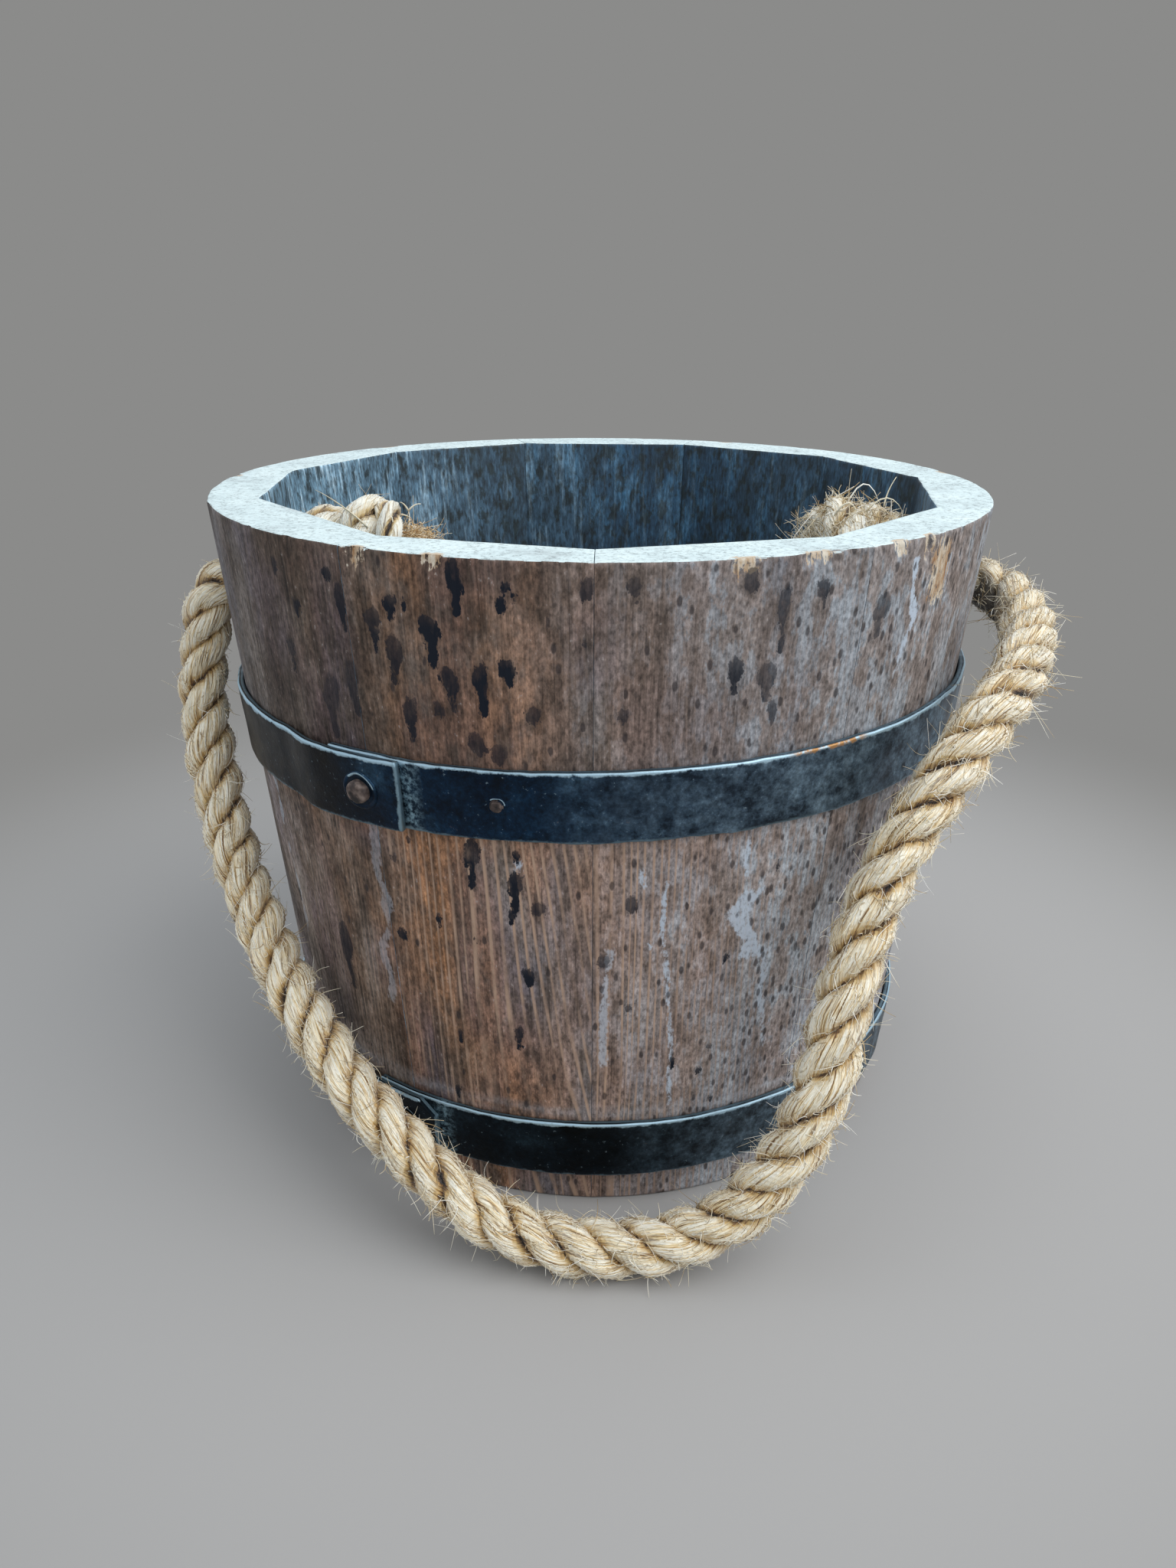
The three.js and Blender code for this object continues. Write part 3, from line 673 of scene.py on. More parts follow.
reach = wall_radius(BOTTOM_LIFT + LIP_THICK) - WALL + LIP_REACH
boards = (("left", LEFT_SHORT - reach, -BOARD_SEAM - SEAM_GAP),
          ("middle", SEAM_GAP - BOARD_SEAM, BOARD_SEAM - SEAM_GAP),
          ("right", BOARD_SEAM + SEAM_GAP, reach - RIGHT_SHORT))
for count, (side, left, right) in enumerate(boards):
    board = piece_of(board_mesh(left, right), f"bottom_wood_{side}", "bucket", "bottom_wood",
                     (inside_wood,), f"bottom_board_{side}")
    carry(board.data, slice=FIRST_BOARD_SLICE + count)


# The hoops. Each is a flat iron strap bent round the staves, lapped at the front left and riveted
# through the lap. They are blackened, rubbed bright on the upper edge and nicked on the lower one,
# with painted highlights on both edges and at the lapped end, painted light on the right and painted
# shade on the left.
HOOP_WIDTH, HOOP_THICK, HOOP_CORNER = 30.0, 3.0, 0.8
HOOP_FIT = 0.3
LAP_ANGLE, LAP_RAMP, LAP_SHORT = 14.0, 9.0, 2.0
LOWER_HOOP_FOOT = 17.5
# Foot in mm, tilt in degrees and angle of the outer end for each hoop
UPPER_STRAP = (UPPER_HOOP_FOOT, 1.7, -116.0)
LOWER_STRAP = (LOWER_HOOP_FOOT, 0.3, -116.5)
CORNER_CLIP = 8.0
STRAP_RINGS, END_RINGS = 760, 17


def strap_frame(strap, angle):
    """Foot of the strap's inner face, and its outward and upward directions, at angles in degrees:
    the strap lies on the cone of the staves, tilted a little, and near its outer end climbs over
    its own start in an s-shaped ramp."""
    foot, tilt, end = strap
    turn = np.radians(angle)
    taper = (RIM_RADIUS - BASE_RADIUS) / HEIGHT
    z = foot + math.tan(math.radians(tilt)) * wall_radius(foot) * np.cos(turn)
    climb = np.clip((LAP_ANGLE + LAP_RAMP - (end - angle)) / LAP_RAMP, 0, 1)
    lift = HOOP_FIT + (HOOP_THICK + HOOP_FIT) * climb * climb * (3 - 2 * climb)
    cos, sin = np.cos(turn), np.sin(turn)
    out = np.stack([cos, sin, np.full_like(turn, -taper)], -1) / math.hypot(1, taper)
    up = np.stack([cos * taper, sin * taper, np.ones_like(turn)], -1) / math.hypot(1, taper)
    radius = wall_radius(z)
    return np.stack([radius * cos, radius * sin, z], -1) + out * lift[:, None], out, up


def strap_mesh(strap, clip, seed):
    """A rounded rectangle, 3 by 30 mm with slightly wavy edges, carried round the hoop's path; near
    the outer end its top corner may be clipped. UV is the arc and the height across the strap."""
    total = 360 + LAP_ANGLE - LAP_SHORT
    unwound = np.concatenate([np.linspace(0, 4, END_RINGS), np.linspace(4.5, total, STRAP_RINGS)])[::-1]
    angle = strap[2] - unwound
    base, out, up = strap_frame(strap, angle)
    turn = np.radians((0, 30, 60, 90))
    edge = HOOP_CORNER * (1 - np.stack([np.cos(turn), np.sin(turn)], -1))
    face = np.linspace(HOOP_CORNER, HOOP_WIDTH - HOOP_CORNER, 15)[1:-1]
    thick = np.concatenate([edge[::-1, 0], face * 0, edge[:, 0]])
    thick = np.concatenate([thick, HOOP_THICK - thick])
    height = np.concatenate([edge[::-1, 1], face, HOOP_WIDTH - edge[:, 1]])
    height = np.concatenate([height, height[::-1]])
    arc = np.radians(angle) * RIM_RADIUS
    wavy_top = 0.7 * wander(arc / 21, 0, seed) + 0.3 * wander(arc / 5, 0, seed + 1) - 0.5
    wavy_foot = 0.7 * wander(arc / 17, 0, seed + 2) + 0.5 * wander(arc / 4.2, 0, seed + 3) - 0.6
    share = height / HOOP_WIDTH
    h = height + wavy_top[:, None] * share ** 3 + wavy_foot[:, None] * (1 - share) ** 3
    if clip:
        to_end = np.radians(unwound) * wall_radius(strap[0])
        ceiling = HOOP_WIDTH - np.clip(clip - to_end, 0, clip)
        h = np.minimum(h, ceiling[:, None] * share ** 0.02)
    beaten = 0.5 * (wander(arc[:, None] / 13, height / 11, seed + 4) - 0.5)
    t = thick + beaten * (thick > HOOP_THICK / 2)
    points = base[:, None] + out[:, None] * t[..., None] + up[:, None] * h[..., None]
    uv = np.stack(np.broadcast_arrays(arc[:, None], np.where(thick > 1.2, h, -h)), -1) / 1000
    return tubes_mesh("strap", points[None], uv)


def iron_finish(name, dark, middle, dusty, end, rust, dust_and_sheen, painted_shade_stretch):
    """Blackened wrought iron: near black with a cold blue cast, satin, cloudy where it is oiled. The
    upper edge has a pale line, rubbed bare and a painted highlight, rusty along one stretch; the lower
    edge a fainter pale line, nicked and a painted highlight; and the lapped end and the strap just past
    it carry painted highlights. One stretch is gritty with pale dust and painted paler as lit, and a
    last one is painted near black as shade. The stretches are pairs of places along the strap in
    metres, as is its end."""
    material, iron = bare(name)
    place = iron("TexCoord", out="Object")
    surface = iron("UVMap", uv_map="surface")
    along, across = (iron("SeparateXYZ", {0: surface}, axis) for axis in "XY")

    def stretch(first, last, fade):
        """One between two places along the strap, fading to nothing past each."""
        return [(along, first - fade, first), (along, last + fade, last)]

    cloud, grit, freckle = (
        iron("TexNoise", {"Vector": place, "Scale": scale, "Detail": detail, "Roughness": rough})
        for scale, detail, rough in ((34.0, 5.0, 0.65), (480.0, 3.0, 0.7), (130.0, 4.0, 0.7)))
    lapped = end - 2 * math.pi * RIM_RADIUS / 1000
    wavering = iron("MapRange", (freckle, .3, .7, -.0009, .0009))
    edge = iron("Math", (across, wavering))
    rusty = [stretch(*rust, .006), (freckle, .4, .5)]
    edge_colour = iron("Mix", {0: rusty, 6: "#a9c4d2", 7: "#a98055"}, 2, data_type="RGBA")
    tip = iron("Math", (along, wavering))
    rust_spot = iron("MapRange", (freckle, .68, .75, 0.0, .5))
    colour = iron("ValToRGB", {0: cloud}, stops=((.34, dark), (.52, middle), (.72, dusty)))
    for share, laid, *blend in (
            # Pale dusty grit, and painted light: the side towards the lamp is painted paler
            ([stretch(*dust_and_sheen, .1), [(freckle, .36, .64, .3, .95), (cloud, .35, .62, .4, 1.15)]], "#6d8291"),
            # Painted highlight on the strap just past the lapped end
            ([stretch(lapped, lapped + .003, .007), (grit, .42, .62, .05, .9)], "#86a3b0"),
            # Painted shade: near black on the side away from the lamp
            ([stretch(*painted_shade_stretch, .03), (freckle, .3, .6, .6, 1.0)], "#0e0c0b"),
            (1.0, iron("ValToRGB", {0: grit}, stops=((.35, .56), (.5, .87), (.65, 1.22))), "MULTIPLY"),
            (1.0, iron("ValToRGB", {0: freckle}, stops=((.36, .7), (.5, 1.0), (.64, 1.28))), "MULTIPLY"),
            ((freckle, .43, .35, 0.0, .45), "#0a121a"),
            # Pale blue line on the upper edge: rubbed bare iron and a painted highlight, rusty on one
            # stretch
            ((edge, .0284, .0292), edge_colour),
            # Painted highlight along the lapped end, as though its edge caught the light
            ((tip, end - .0012, end - .0004, 0.0, .7), "#8fabb8"),
            # Fainter pale line on the lower edge: nicks and a painted highlight
            ((edge, .0012, .0003, 0.0, .55), "#7f99a6"),
            ((grit, .66, .72, 0.0, .6), "#8296a0"),
            (rust_spot, "#4c3b30")):
        colour = iron("Mix", {0: share, 6: colour, 7: laid}, 2, data_type="RGBA",
                      blend_type=(*blend, "MIX")[0])
    height = iron("Math", (cloud, [grit, .25]))
    iron("OutputMaterial", {"Surface": iron("BsdfPrincipled", {
        "Base Color": colour, "Metallic": (rust_spot, 0.0, .5, .8, .1),
        "Roughness": (cloud, .3, .7, .36, .58),
        "Normal": iron("Bump", {"Strength": 0.5, "Distance": 0.0008, "Height": height})})})
    return material


# The stretches: rusty, dusty and painted paler as lit, and painted near black as shade
upper_iron = iron_finish("blackened_wrought_iron_upper", "#07182a", "#0f2a41", "#345269", -.3644,
                         (-1.334, -1.304), (-1.34, -1.20), (-.56, -.40))
lower_iron = iron_finish("blackened_wrought_iron_lower", "#060f15", "#0e1c26", "#283c48", -.366,
                         (-.75, -.72), (-1.31, -1.15), (-.6, -.45))
for name, strap, clip, seed, iron in (("upper_hoop", UPPER_STRAP, 0, 90, upper_iron),
                                      ("lower_hoop", LOWER_STRAP, CORNER_CLIP, 95, lower_iron)):
    piece_of(strap_mesh(strap, clip, seed), f"{name}_strap", "bucket", "hoop_iron", (iron,), name)


# The rivets and the nail. A rivet with a hammered head goes through each lap, in a raised burr, and
# one small nail holds the upper hoop to a stave. They are the same iron, browner where the hammer
# broke the black.
RIVET_RADIUS, RIVET_HEIGHT, RIVET_BACK = 5.0, 3.4, 6.0
NAIL_RADIUS, NAIL_HEIGHT, NAIL_ANGLE = 2.3, 1.0, -103.0
# The head's profile from the burr in to the top: shares of its radius, and of its height
HEAD_REACH = np.array((1.75, 1.68, 1.58, 1.48, 1.38, 1.25, .98, 1.0, 1.0, .95, .86, .72, .5, .25, .05))
HEAD_RISE = np.array((-.35, .02, .13, .13, .04, -.12, -.12, .2, .55, .78, .9, .96, 1, 1.01, 1.0))
HEAD_SIDES, BURR = 48, 1.12
# Where the burr takes its finish from: the strap's plain middle, and how far up its pale edge line is, a
# painted highlight
PLAIN_ALONG, PLAIN_ACROSS, TO_HIGHLIGHT_EDGE = -0.62, 0.015, 0.0142


def head_mesh(strap, angle, radius, height, seed):
    """A hammered head turned about the strap's outward direction: a low dome with a flat top and a
    rounded skirt, its radius wavering round the turn, standing in a shallow ring-shaped burr."""
    base, out, up = (v[0] for v in strap_frame(strap, np.array([angle])))
    side = np.cross(up, out)
    centre = base + up * HOOP_WIDTH / 2 + out * HOOP_THICK
    turn = np.linspace(0, 2 * math.pi, HEAD_SIDES, endpoint=False)
    rise, burr = HEAD_RISE * height, HEAD_REACH > 1.3
    uneven = 1 + 0.16 * (wander(np.cos(turn) * 1.6 + 9, np.sin(turn) * 1.6 + 9, seed) - 0.5)
    r = radius * HEAD_REACH[:, None] * uneven
    lumps = wander(r * np.cos(turn) / 2.2 + 30, r * np.sin(turn) / 2.2 + 30, seed + 1) - 0.5
    lumps = 0.3 * height * lumps * (rise > 0.4 * height)[:, None]
    upper = np.clip(0.5 + 0.9 * np.sin(turn + 0.3), 0, 1)
    lumps = lumps - np.where(burr, np.maximum(rise, 0), 0)[:, None] * (0.8 - 0.8 * upper)
    round_it = np.cos(turn)[:, None] * side + np.sin(turn)[:, None] * up
    points = centre + r[..., None] * round_it + (rise[:, None] + lumps)[..., None] * out
    # The burr's upper side takes the strap's pale edge line: a painted highlight, lit from above
    across = PLAIN_ACROSS + TO_HIGHLIGHT_EDGE * upper * (burr & (HEAD_REACH < 1.65))[:, None]
    mesh = tubes_mesh("head", points[None], np.stack([0 * across + PLAIN_ALONG, across], -1))
    out_by = np.linalg.norm(np.cross(each_of(mesh.polygons, "center") * 1000 - centre, out), axis=1)
    mesh.polygons.foreach_set("material_index", (out_by > BURR * radius).astype(np.int32))
    return mesh


# Hammered iron with rust in the dents: brown, dull, and rubbed pale on the high spots
head_iron, knocked = bare("hammered_rusty_iron")
dents = knocked("TexNoise", {"Vector": knocked("TexCoord", out="Object"), "Scale": 240.0, "Detail": 4.0})
colour = knocked("ValToRGB", {0: dents}, stops=((.36, "#1a1514"), (.5, "#473a35"), (.64, "#75665e")))
knocked("OutputMaterial", {"Surface": knocked("BsdfPrincipled", {
    "Base Color": colour, "Metallic": 0.15, "Roughness": 0.6,
    "Normal": knocked("Bump", {"Strength": 0.5, "Distance": 0.0006, "Height": dents})})})
heads = (("upper_rivet", UPPER_STRAP, UPPER_STRAP[2] - RIVET_BACK, RIVET_RADIUS, RIVET_HEIGHT, 110),
         ("lower_rivet", LOWER_STRAP, LOWER_STRAP[2] - RIVET_BACK, RIVET_RADIUS, RIVET_HEIGHT, 114),
         ("hoop_nail", UPPER_STRAP, NAIL_ANGLE - 360, NAIL_RADIUS, NAIL_HEIGHT, 118))
for name, strap, angle, radius, height, seed in heads:
    piece_of(head_mesh(strap, angle, radius, height, seed), f"{name}_head", "bucket", "rivet_iron",
             (head_iron, lower_iron if strap == LOWER_STRAP else upper_iron), name)


# The rope handle. A three-strand manila rope, 24 mm thick and laid to the right, comes out of the two
# side holes and hangs down in front to the floor. Its yarns are loose, so fibres stand off all along it.
ROPE_DIAMETER, ROPE_LAY, ROPE_LENGTH = 24.0, 56.0, 0.91
STRAND_SHARE, STRAND_SIDES, BACK_TWIST, ROPE_STEP, ROPE_SHAG = 0.243, 44, 1.75, 1.45, 1.9
FIBRE_RINGS, FIBRE_SIDES, FLOOR_CLEAR = 7, 3, 0.6
KNOT_START = 146.2
ROPE_ROUTE = ((-KNOT_START, -4, 252), (-163, -4, 252), (-177, -4, 251.2), (-188.5, -4.5, 243.5),
              (-194.5, -6, 229), (-197, -10, 211), (-196, -19, 189), (-191, -32, 165), (-181, -51, 139),
              (-167, -75, 114), (-148, -103, 92), (-124, -134, 73), (-97, -160, 54), (-68, -180, 35),
              (-40, -190.5, 19.5), (-13, -195, 13), (14, -196, 13), (40, -195.5, 20), (63, -195, 38.5),
              (79.5, -192.5, 64), (89.5, -187, 90), (96, -178.5, 118), (104.5, -167.5, 148),
              (118, -155, 177), (136.2, -142.8, 202), (156, -125.5, 221.5), (175, -101, 232),
              (187.5, -75, 238.5), (193.3, -54, 242.5), (194.8, -36, 246), (192, -18.5, 249.5),
              (182, -6.8, 251.5), (165, -4, 252), (KNOT_START, -4, 252))
# Loose fibres along the rope: how many, length, lift, straying, half thickness in mm and seed
STANDING = ((3600, (4, 10), (0.1, 0.5), 0.5, (0.15, 0.3), 130),
            (700, (3, 7), (0.4, 1.1), 0.6, (0.14, 0.24), 131),
            (8, (9, 15), (0.1, 0.5), 0.4, (0.14, 0.2), 132))
LYING = (2400, (3, 9), (0.0, 0.16), 1.1, (0.14, 0.24), 133)
LEFT_BARE, RIGHT_BARE = 30, 26
# The stretch at the right hole painted in shade: its length and the length of its fade in mm, and which way
# faces the light
SHADED_LENGTH, SHADE_FADE, LIT_SIDE = 95, 30, (0.75, 0, 0.66)


def unit(v):
    """Vectors scaled to length one."""
    return v / np.linalg.norm(v, axis=-1)[..., None]


def smooth_route(points, step):
    """A centripetal Catmull-Rom curve through the points, each span a cubic whose end slopes weigh
    the neighbouring spans by the root of their lengths, evened out to equal steps of arc length."""
    p = np.array(points, float)
    p = np.concatenate([[2 * p[0] - p[1]], p, [2 * p[-1] - p[-2]]])
    d = np.sqrt(np.linalg.norm(np.diff(p, axis=0), axis=1))[:, None]
    a, b, c = d[:-2], d[1:-1], d[2:]
    start = ((p[1:-2] - p[:-3]) / a - (p[2:-1] - p[:-3]) / (a + b) + (p[2:-1] - p[1:-2]) / b) * b
    end = ((p[2:-1] - p[1:-2]) / b - (p[3:] - p[1:-2]) / (b + c) + (p[3:] - p[2:-1]) / c) * b
    t = np.linspace(0, 1, 60, endpoint=False)[None, :, None]
    q0, q1, m0, m1 = (v[:, None] for v in (p[1:-2], p[2:-1], start, end))
    line = ((2 * t ** 3 - 3 * t ** 2 + 1) * q0 + (t ** 3 - 2 * t ** 2 + t) * m0
            + (3 * t ** 2 - 2 * t ** 3) * q1 + (t ** 3 - t ** 2) * m1).reshape(-1, 3)
    line = np.concatenate([line, p[-2:-1]])
    run = np.concatenate([[0], np.cumsum(np.linalg.norm(np.diff(line, axis=0), axis=1))])
    even = np.linspace(0, run[-1], max(8, round(run[-1] / step)) + 1)
    return np.stack([np.interp(even, run, line[:, k]) for k in range(3)], -1), even


def steady_frames(path):
    """Tangents, and two directions square to them that turn as little as they can along the path:
    each station's are the last one's, reflected in the step and then in the change of tangent."""
    tangent = unit(np.gradient(path, axis=0))
    side = unit(np.cross(tangent[0], (0, 0.3, 1.0)))
    sides = [side]
    for i in range(len(path) - 1):
        step = path[i + 1] - path[i]
        mirrored = side - 2 * step * (step @ side) / (step @ step)
        leaning = tangent[i] - 2 * step * (step @ tangent[i]) / (step @ step)
        change = tangent[i + 1] - leaning
        side = mirrored - 2 * change * (change @ mirrored) / max(change @ change, 1e-12)
        side = unit(side - tangent[i + 1] * (side @ tangent[i + 1]))
        sides.append(side)
    sides = np.array(sides)
    return tangent, sides, np.cross(tangent, sides)


def laid_strands(path, run, diameter, lay, seed, shaggy):
    """Three strands laid to the right round a path. A strand's middle circles the path once a lay;
    its section is a circle with uneven tufts, which twist back so that they lie nearly along the
    rope. Gives the points, the middles, the path's tangents and coordinates across and along a yarn."""
    tangent, side, up = steady_frames(path)
    strand_radius = diameter * STRAND_SHARE
    circle = diameter / 2 - strand_radius
    which = np.arange(3)[:, None]
    around = which / 3 * 2 * math.pi + 2 * math.pi * run / lay
    out = np.cos(around)[..., None] * side + np.sin(around)[..., None] * up
    slack = 1 + 0.16 * (wander(run / 31 + seed, which * 5.3, seed) - 0.5)
    middle = path + circle * slack[..., None] * out
    along = unit(np.gradient(middle, axis=1))
    out = unit(out - along * (out * along).sum(-1)[..., None])
    across = np.cross(along, out)
    phi = np.linspace(-math.pi, math.pi, STRAND_SIDES, endpoint=False)
    back_twist = BACK_TWIST * (2 * math.pi * circle / lay) / strand_radius
    strand, station = which[..., None], run[None, :, None]
    yarn = phi + back_twist * station
    loose = wander(yarn * 1.6 + 11 * strand, station / 17, seed + 1)
    tufts = wander(yarn * 4.3 + 11 * strand, station / 13, seed + 2)
    bulge = 1 + 0.12 * (wander(run / 23, which * 7.1, seed + 3) - 0.5)
    radius = strand_radius * bulge[..., None] * (1 + shaggy * (0.12 * (loose - 0.5) + 0.16 * (tufts - 0.5)))
    spoke = np.cos(phi)[:, None] * out[:, :, None] + np.sin(phi)[:, None] * across[:, :, None]
    points = middle[:, :, None] + radius[..., None] * spoke
    coords = np.stack(np.broadcast_arrays(yarn * strand_radius + 60 * strand, station), -1)
    return points, middle, tangent, coords


def strand_mesh(name, path, points, coords, diameter):
    """Three closed tubes from grids of points, with how deep each point lies between the strands as
    an attribute: 0 on the rope's outside and near 1 where the strands meet, which the finish uses
    for painted shade in the creases."""
    mesh = tubes_mesh(name, points, coords / 1000)
    depth = np.linalg.norm(points - path[None, :, None], axis=-1) / (diameter / 2)
    carry(mesh, crease=np.clip((0.94 - depth) / 0.34, 0, 1) ** 1.2)
    return mesh


def fibre_mesh(name, roots, heading, curl, twist, length, thick):
    """Fine hairs of three sides: hair = root + length (t heading + t squared curl + t cubed twist),
    t from 0 to 1 in six steps, kept off the floor, thinning to a third at the tip, ends closed."""
    t = np.linspace(0, 1, FIBRE_RINGS)[None, :, None]
    heading, curl, twist = (v[:, None] for v in (heading, curl, twist))
    line = roots[:, None] + length[:, None, None] * (t * heading + t ** 2 * curl + t ** 3 * twist)
    line[..., 2] = np.maximum(line[..., 2], FLOOR_CLEAR)
    tangent = unit(heading + 2 * t * curl + 3 * t ** 2 * twist)
    side = unit(np.cross(tangent, (0.31, -0.52, 0.79)))
    up = np.cross(tangent, side)
    turn = (np.arange(FIBRE_SIDES) * 2 * math.pi / FIBRE_SIDES)[:, None]
    radius = thick[:, None, None, None] * (1 - 0.66 * t[..., None])
    points = line[:, :, None] + radius * (np.cos(turn) * side[:, :, None] + np.sin(turn) * up[:, :, None])
    own = np.arange(len(roots))[:, None, None] * 1.7 + np.zeros(FIBRE_SIDES)
    return tubes_mesh(name, points, np.stack(np.broadcast_arrays(own, 8 * t), -1) / 1000)


def stray_fibres(points, middle, tangent, count, span, lift, stray, thick, seed, share=None):
    """Fibres on a rope: rooted at random on the strands' outer half, setting off along the surface,
    straying from the rope's direction, leaning outwards by a random lift, and arching back to it."""
    chance = np.random.default_rng(seed)
    strands, rings, sides = points.shape[:3]
    k = chance.integers(0, strands, count)
    j = chance.integers(sides // 4, 3 * sides // 4, count)
    i = chance.choice(rings, count, p=share)
    away = unit(points[k, i, j] - middle[k, i])
    heading = tangent[i] * chance.choice((-1.0, 1.0), count)[:, None] + chance.normal(0, stray, (count, 3))
    heading = unit(heading - away * (heading * away).sum(1)[:, None])
    rise = away * chance.uniform(*lift, count)[:, None]
    heading = unit(heading + rise)
    curl = chance.normal(0, 0.42, (count, 3)) - rise * chance.uniform(0.3, 1.3, (count, 1))
    twist = chance.normal(0, 0.42, (count, 3))
    length = chance.uniform(*span, count) * chance.uniform(0.5, 1, count)
    return points[k, i, j] - 0.1 * away, heading, curl, twist, length, chance.uniform(*thick, count)


# Laid manila: straw fibres side by side, drawn about 1 mm wide, coarser than real ones so that they
# show; cream, with painted shade darkening to brown where the strands meet
rope_manila, manila = bare("laid_manila_fibre")
turned = (manila("Mapping", {"Vector": manila("UVMap", uv_map="surface"), "Rotation": (0, 0, slant)})
          for slant in (0, 0, .16, -.2))
straw, yarn_tone, fine_straw, wisps = (
    manila("TexNoise", {"Vector": manila("Mapping", {"Vector": lying, "Scale": scale}), "Scale": 1.0,
                        "Detail": 3.0, "Roughness": 0.65, "Distortion": .5})
    for lying, scale in zip(turned, ((980, 60, 1), (270, 26, 1), (820, 84, 1), (1050, 110, 1))))
dirt = manila("TexNoise", {"Vector": manila("TexCoord", out="Object"), "Scale": 30.0, "Detail": 4.0})
ragged = (manila("Math", (fine_straw, wisps)), .8, 1.2, .4, 1.7)
patchy = (dirt, .36, .62, .45, 1.15)
# The last ramp is painted shade in the creases, by how deep a point lies between the strands
yarns, fine, thin, crease_shade = (manila("ValToRGB", {0: value}, stops=stops) for value, stops in (
    (yarn_tone, ((.34, "#c9b48a"), (.42, "#f9f0da"), (.5, "#ffffff"))),
    (fine_straw, ((.35, "#6d4d22"), (.4, "#dfc592"), (.46, "#fffdf6"))),
    (wisps, ((.35, "#6a4a20"), (.4, "#e2cb9c"), (.46, "#ffffff"))),
    (["crease", ragged, patchy], ((0, "#ffffff"), (.3, "#dcc28e"), (.6, "#7f5f32"), (1, "#26180a")))))
colour = manila("ValToRGB", {0: straw},
                stops=((.35, "#7d5a28"), (.4, "#d8bd8a"), (.45, "#ffeecb"), (.5, "#fffaec")))
for share, laid, *blend in (
        (.5, yarns, "MULTIPLY"),
        # Knots painted paler: sun-faded rope, and painted light against the rim's shade
        ("faded", "#fcfdf6"),
        (.68, fine, "MULTIPLY"),
        (.68, thin, "MULTIPLY"),
        ((dirt, .57, .77, 0.0, .25), "#a1875f"),
        # Painted shade: brown to near black where the strands meet
        (1.0, crease_shade, "MULTIPLY"),
        # Painted shade on the rope's underside where it bends into the right hole
        ("soiled", "#1c130b")):
    colour = manila("Mix", {0: share, 6: colour, 7: laid}, 2, data_type="RGBA",
                    blend_type=(*blend, "MIX")[0])
height = manila("Math", (manila("Math", (straw, wisps)), yarn_tone))
manila("OutputMaterial", {"Surface": manila("BsdfPrincipled", {
    "Base Color": colour, "Roughness": 0.5, "Specular IOR Level": 0.7, "Sheen Weight": 0.3,
    "Normal": manila("Bump", {"Strength": 0.9, "Distance": 0.0011, "Height": height})})})

# Single manila fibres: thin, springy and straw coloured, each a little different; the tow of an old
# frayed end, browner and duller; and stiff straws bleached pale
loose_fibres = []
for name, straws in (("loose_manila_fibre", ("#b3976a", "#e6d9bb", "#fffbf0")),
                     ("brown_manila_tow", ("#b58b58", "#e4c897", "#fff1d6")),
                     ("bleached_stiff_straw", ("#e3d8b9", "#f4eed9", "#fffdf6"))):
    finish, hair = bare(name)
    spread = hair("Mapping", {"Vector": hair("UVMap", uv_map="surface"), "Scale": (900, 60, 1)})
    each = hair("TexNoise", {"Vector": spread, "Scale": 1.0, "Detail": 2.0})
    colour = hair("ValToRGB", {0: each}, stops=tuple(zip((.38, .5, .62), straws)))
    hair("OutputMaterial", {"Surface": hair("BsdfPrincipled", {"Base Color": colour, "Roughness": 0.6})})
    loose_fibres.append(finish)
fibre_manila, brown_tow, pale_straw = loose_fibres

rope_path, rope_run = smooth_route(ROPE_ROUTE, ROPE_STEP)
*laid, coords = laid_strands(rope_path, rope_run, ROPE_DIAMETER, ROPE_LAY, 120, ROPE_SHAG)
rope = piece_of(strand_mesh("rope", rope_path, laid[0], coords, ROPE_DIAMETER), "rope_handle_strands",
                "handle", "rope", (rope_manila,), "rope_handle")
# Painted shade on the underside over the last stretch, where it bends into the right hole
to_end = rope_run[-1] - rope_run
inner = (rope_path[None, :, None] - laid[0]) @ LIT_SIDE / (ROPE_DIAMETER / 2)
shaded = np.clip((SHADED_LENGTH - to_end) / SHADE_FADE, 0, 1)[:, None]
carry(rope.data, soiled=np.clip(0.35 + 1.6 * inner, 0, 0.95) * shaded)
share = (0.6 + 1.5 * rope_run / rope_run[-1]) * ((rope_run > LEFT_BARE) & (to_end > RIGHT_BARE))
share = share / share.sum()
hairs = [stray_fibres(*laid, *how, share) for how in STANDING]
fuzz = fibre_mesh("fuzz", *(np.concatenate(parts) for parts in zip(*hairs)))
lying = fibre_mesh("lying", *stray_fibres(*laid, *LYING, share))
rope_pieces = [piece_of(fuzz, "rope_handle_fibres", "handle", "rope", (fibre_manila,)),
               piece_of(lying, "rope_handle_lying_fibres", "handle", "rope", (pale_straw,))]


# The knots. Each end of the rope is tied inside the bucket in a stopper knot, too big for the hole:
# it spirals out from the hole, makes a full turn round itself and tucks under. On the left one
# strand comes free of the end and hooks over the front.
KNOT_ROPE, FREE_STRAND = 23.0, 12.5
# The last is how far the knots are painted paler: faded rope, and painted light in the rim's shade
KNOT_LAY, KNOT_STEP, KNOT_SHAG, KNOT_FADED_AND_LIT = ROPE_LAY * 0.85, 1.3, 2.2, 0.8
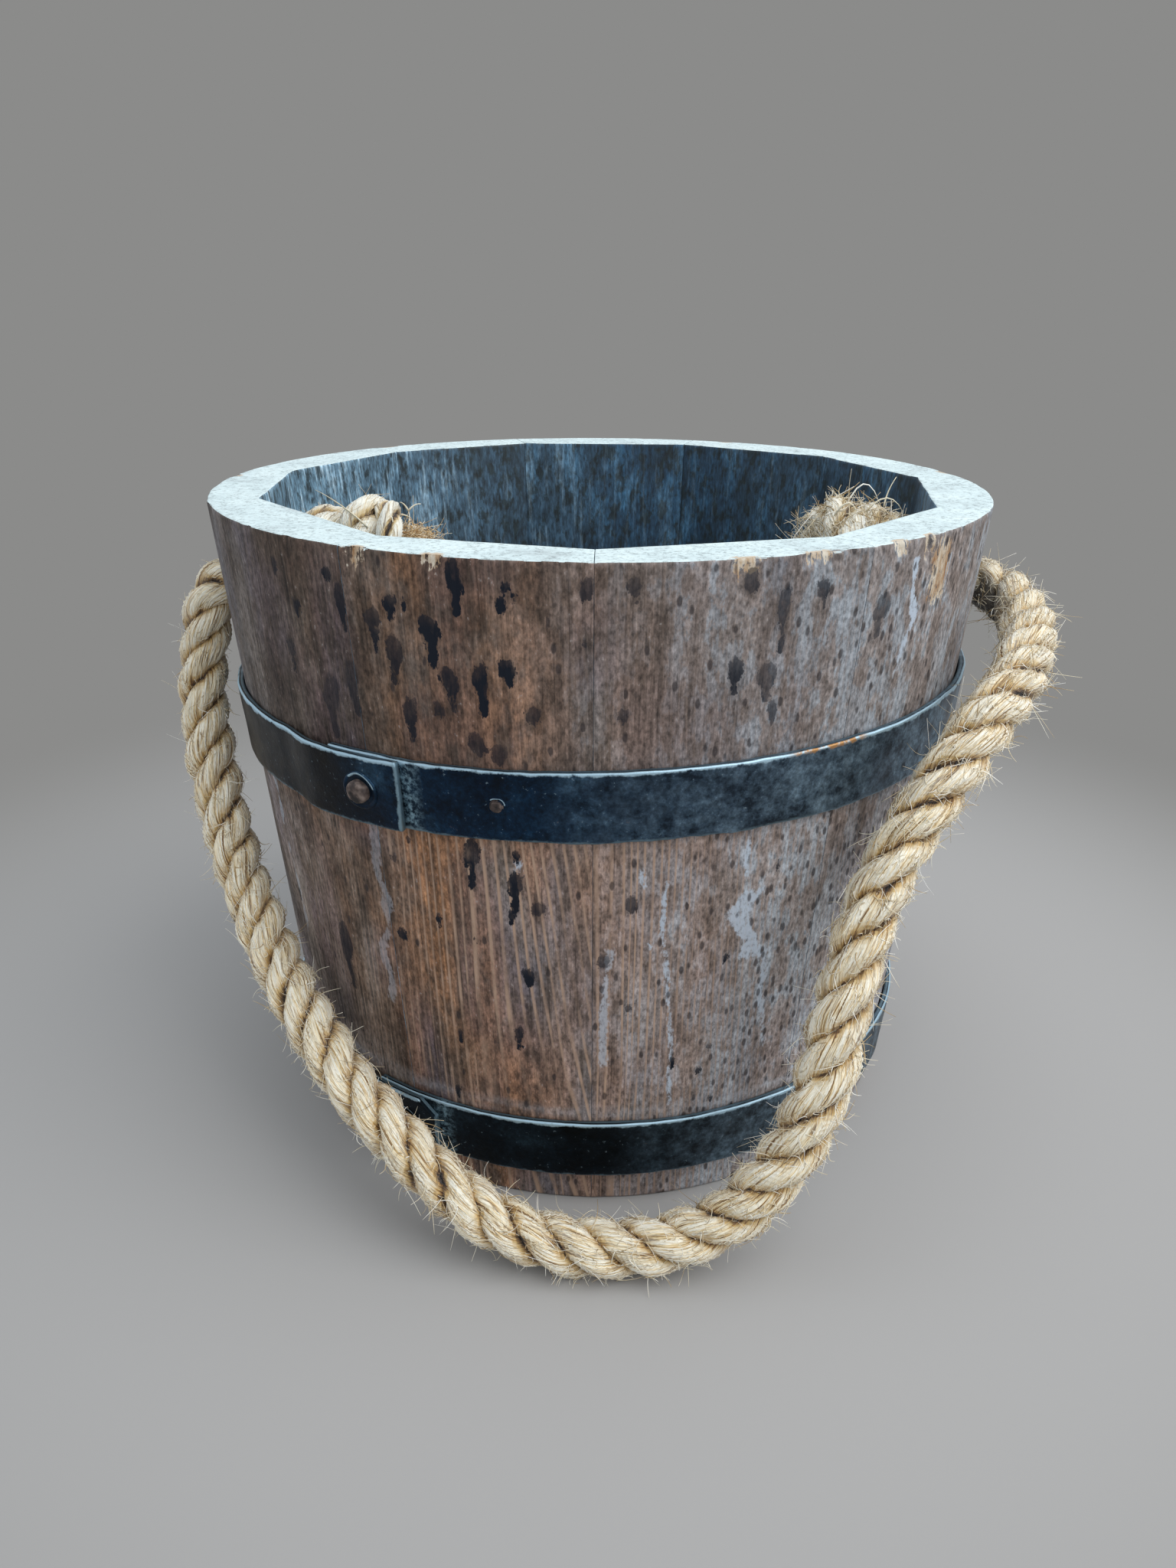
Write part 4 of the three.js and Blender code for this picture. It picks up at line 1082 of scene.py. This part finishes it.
# Each knot's turns: the way inwards from the hole, and y and z from the hole's line, in mm
LEFT_TURNS = ((-3, 0, 0), (5, 0, 3), (10, -13, 11), (14, 0, 23), (19, 17, 10), (24, 10, -14),
              (29, -11, -14), (33, -21, 5), (36, -5, 28), (38, 15, 18), (40, 20, -3), (43, 6, -12),
              (50, -2, 3), (57, 0, 11))
LEFT_STRAND = ((40, 10, 14), (44, 2, 29), (47, -12, 32), (49, -23, 22), (49, -24, 4), (47, -12, -9),
               (46, 2, -6))
RIGHT_TURNS = ((-3, 0, 0), (5, 0, 3), (9, -13, 11), (12, 2, 25), (16, 18, 9), (20, 7, -13),
               (24, -13, -11), (27, -19, 9), (31, -3, 28), (35, 14, 17), (39, 8, 0), (42, -4, 8))

knots = {}
for name, side, turns, diameter, seed in (("left_knot", -1, LEFT_TURNS, KNOT_ROPE, 140),
                                          ("right_knot", 1, RIGHT_TURNS, KNOT_ROPE, 150),
                                          ("left_free", -1, LEFT_STRAND, FREE_STRAND, 145)):
    inward, y, z = np.array(turns, float).T
    route = np.stack([side * (KNOT_START - inward), HOLE_Y + y, HOLE_Z + z], -1)
    path, run = smooth_route(route, KNOT_STEP)
    *laid, coords = laid_strands(path, run, diameter, KNOT_LAY, seed, KNOT_SHAG)
    mesh = strand_mesh("knot", path, laid[0], coords, diameter)
    carry(mesh, faded=KNOT_FADED_AND_LIT)
    rope_pieces.append(piece_of(mesh, f"{name}_strands", "handle", "rope", (rope_manila,),
                                *([name] if diameter == KNOT_ROPE else [])))
    knots[name] = (laid, path[-1])


# The frayed ends. Beyond each knot the rope is unlaid: on the left into a short curly brown tuft with a
# few stiff straws across the knot, on the right into bristles, and loose fibres cover that knot like hay.
# Each straw: root, tip and how far its middle bows, in mm
LEFT_STRAWS = (((-107, -27, 280), (-137, 4, 292), (0, -2, 2)),
               ((-93, -4, 272), (-92, 0, 283), (1, 0, 0)), ((-92, 0, 283), (-86, 1, 286), (0, 0, 1)),
               ((-92, 0, 283), (-96, 0, 287), (0, 0, 1)), ((-92, 0, 280), (-100, -2, 281), (0, 0, 1)),
               ((-101, -20, 286), (-97, -24, 276), (3, -3, 3)))
RIGHT_STRAWS = (((137, 0, 286), (143, 6, 299), (-1, 0, 0)), ((116, -6, 284), (134, -2, 288), (0, 0, 11)),
                ((110, -16, 284), (122, -14, 283), (0, -3, 7)),
                ((126, -10, 285), (145, -6, 284), (0, -2, 7)))
STRAW_THICK = 0.55
# The brush at each end: how many fibres, spread, length, tilt, curl and half thickness in mm
LEFT_BRUSH = (1900, (6, 5, 4.5), (0.8, 2.4), (-1.3, 1.3), 1.3, (0.18, 0.32))
RIGHT_BRUSH = (70, (4, 5, 4), (10, 22), (-0.1, 1.1), 0.22, (0.25, 0.42))
BRUSH_SHIFT = (3, -2, 4)
# Fibres worked loose on each knot, as along the rope
LEFT_LOOSE = (700, (4, 9), (0.0, 0.25), 0.5, (0.12, 0.24))
RIGHT_LOOSE = (4200, (4, 12), (0.08, 0.4), 1.2, (0.25, 0.45))

for name, side, brush, loose, straws, tow, seed in (
        ("left", -1, LEFT_BRUSH, LEFT_LOOSE, LEFT_STRAWS, brown_tow, 160),
        ("right", 1, RIGHT_BRUSH, RIGHT_LOOSE, RIGHT_STRAWS, fibre_manila, 170)):
    laid, end = knots[f"{name}_knot"]
    count, spread, span, tilt, curly, thick = brush
    chance = np.random.default_rng(seed)
    root = end + chance.normal(0, 1, (count, 3)) * spread + np.multiply(BRUSH_SHIFT, (side, 1, 1))
    sideways, upward = chance.normal(-0.1, 0.4, count), chance.uniform(*tilt, count)
    aim = np.stack([np.full(count, -side), sideways, upward], -1)
    curl, twist = (chance.normal(0, curly, (count, 3)) for _ in range(2))
    tuft = (root, unit(aim), curl, twist, chance.uniform(*span, count), chance.uniform(*thick, count))
    worked = stray_fibres(*laid, *loose, seed + 1)
    start, stop, bow = np.array(straws, float).transpose(1, 0, 2)
    each = np.ones(len(bow))
    stiff = (start, stop - start + 4 * bow, -4 * bow, 0 * bow, each, STRAW_THICK * each)
    for kind, slot, finish, fibres, nodes in (
            ("frayed_fibres", "rope_fray", tow, tuft, [f"{name}_frayed_end"]),
            ("loose_fibres", "rope", fibre_manila, worked, []), ("straws", "rope", pale_straw, stiff, [])):
        mesh = fibre_mesh("brush", *fibres)
        rope_pieces.append(piece_of(mesh, f"{name}_{kind}", "handle", slot, (finish,), *nodes))
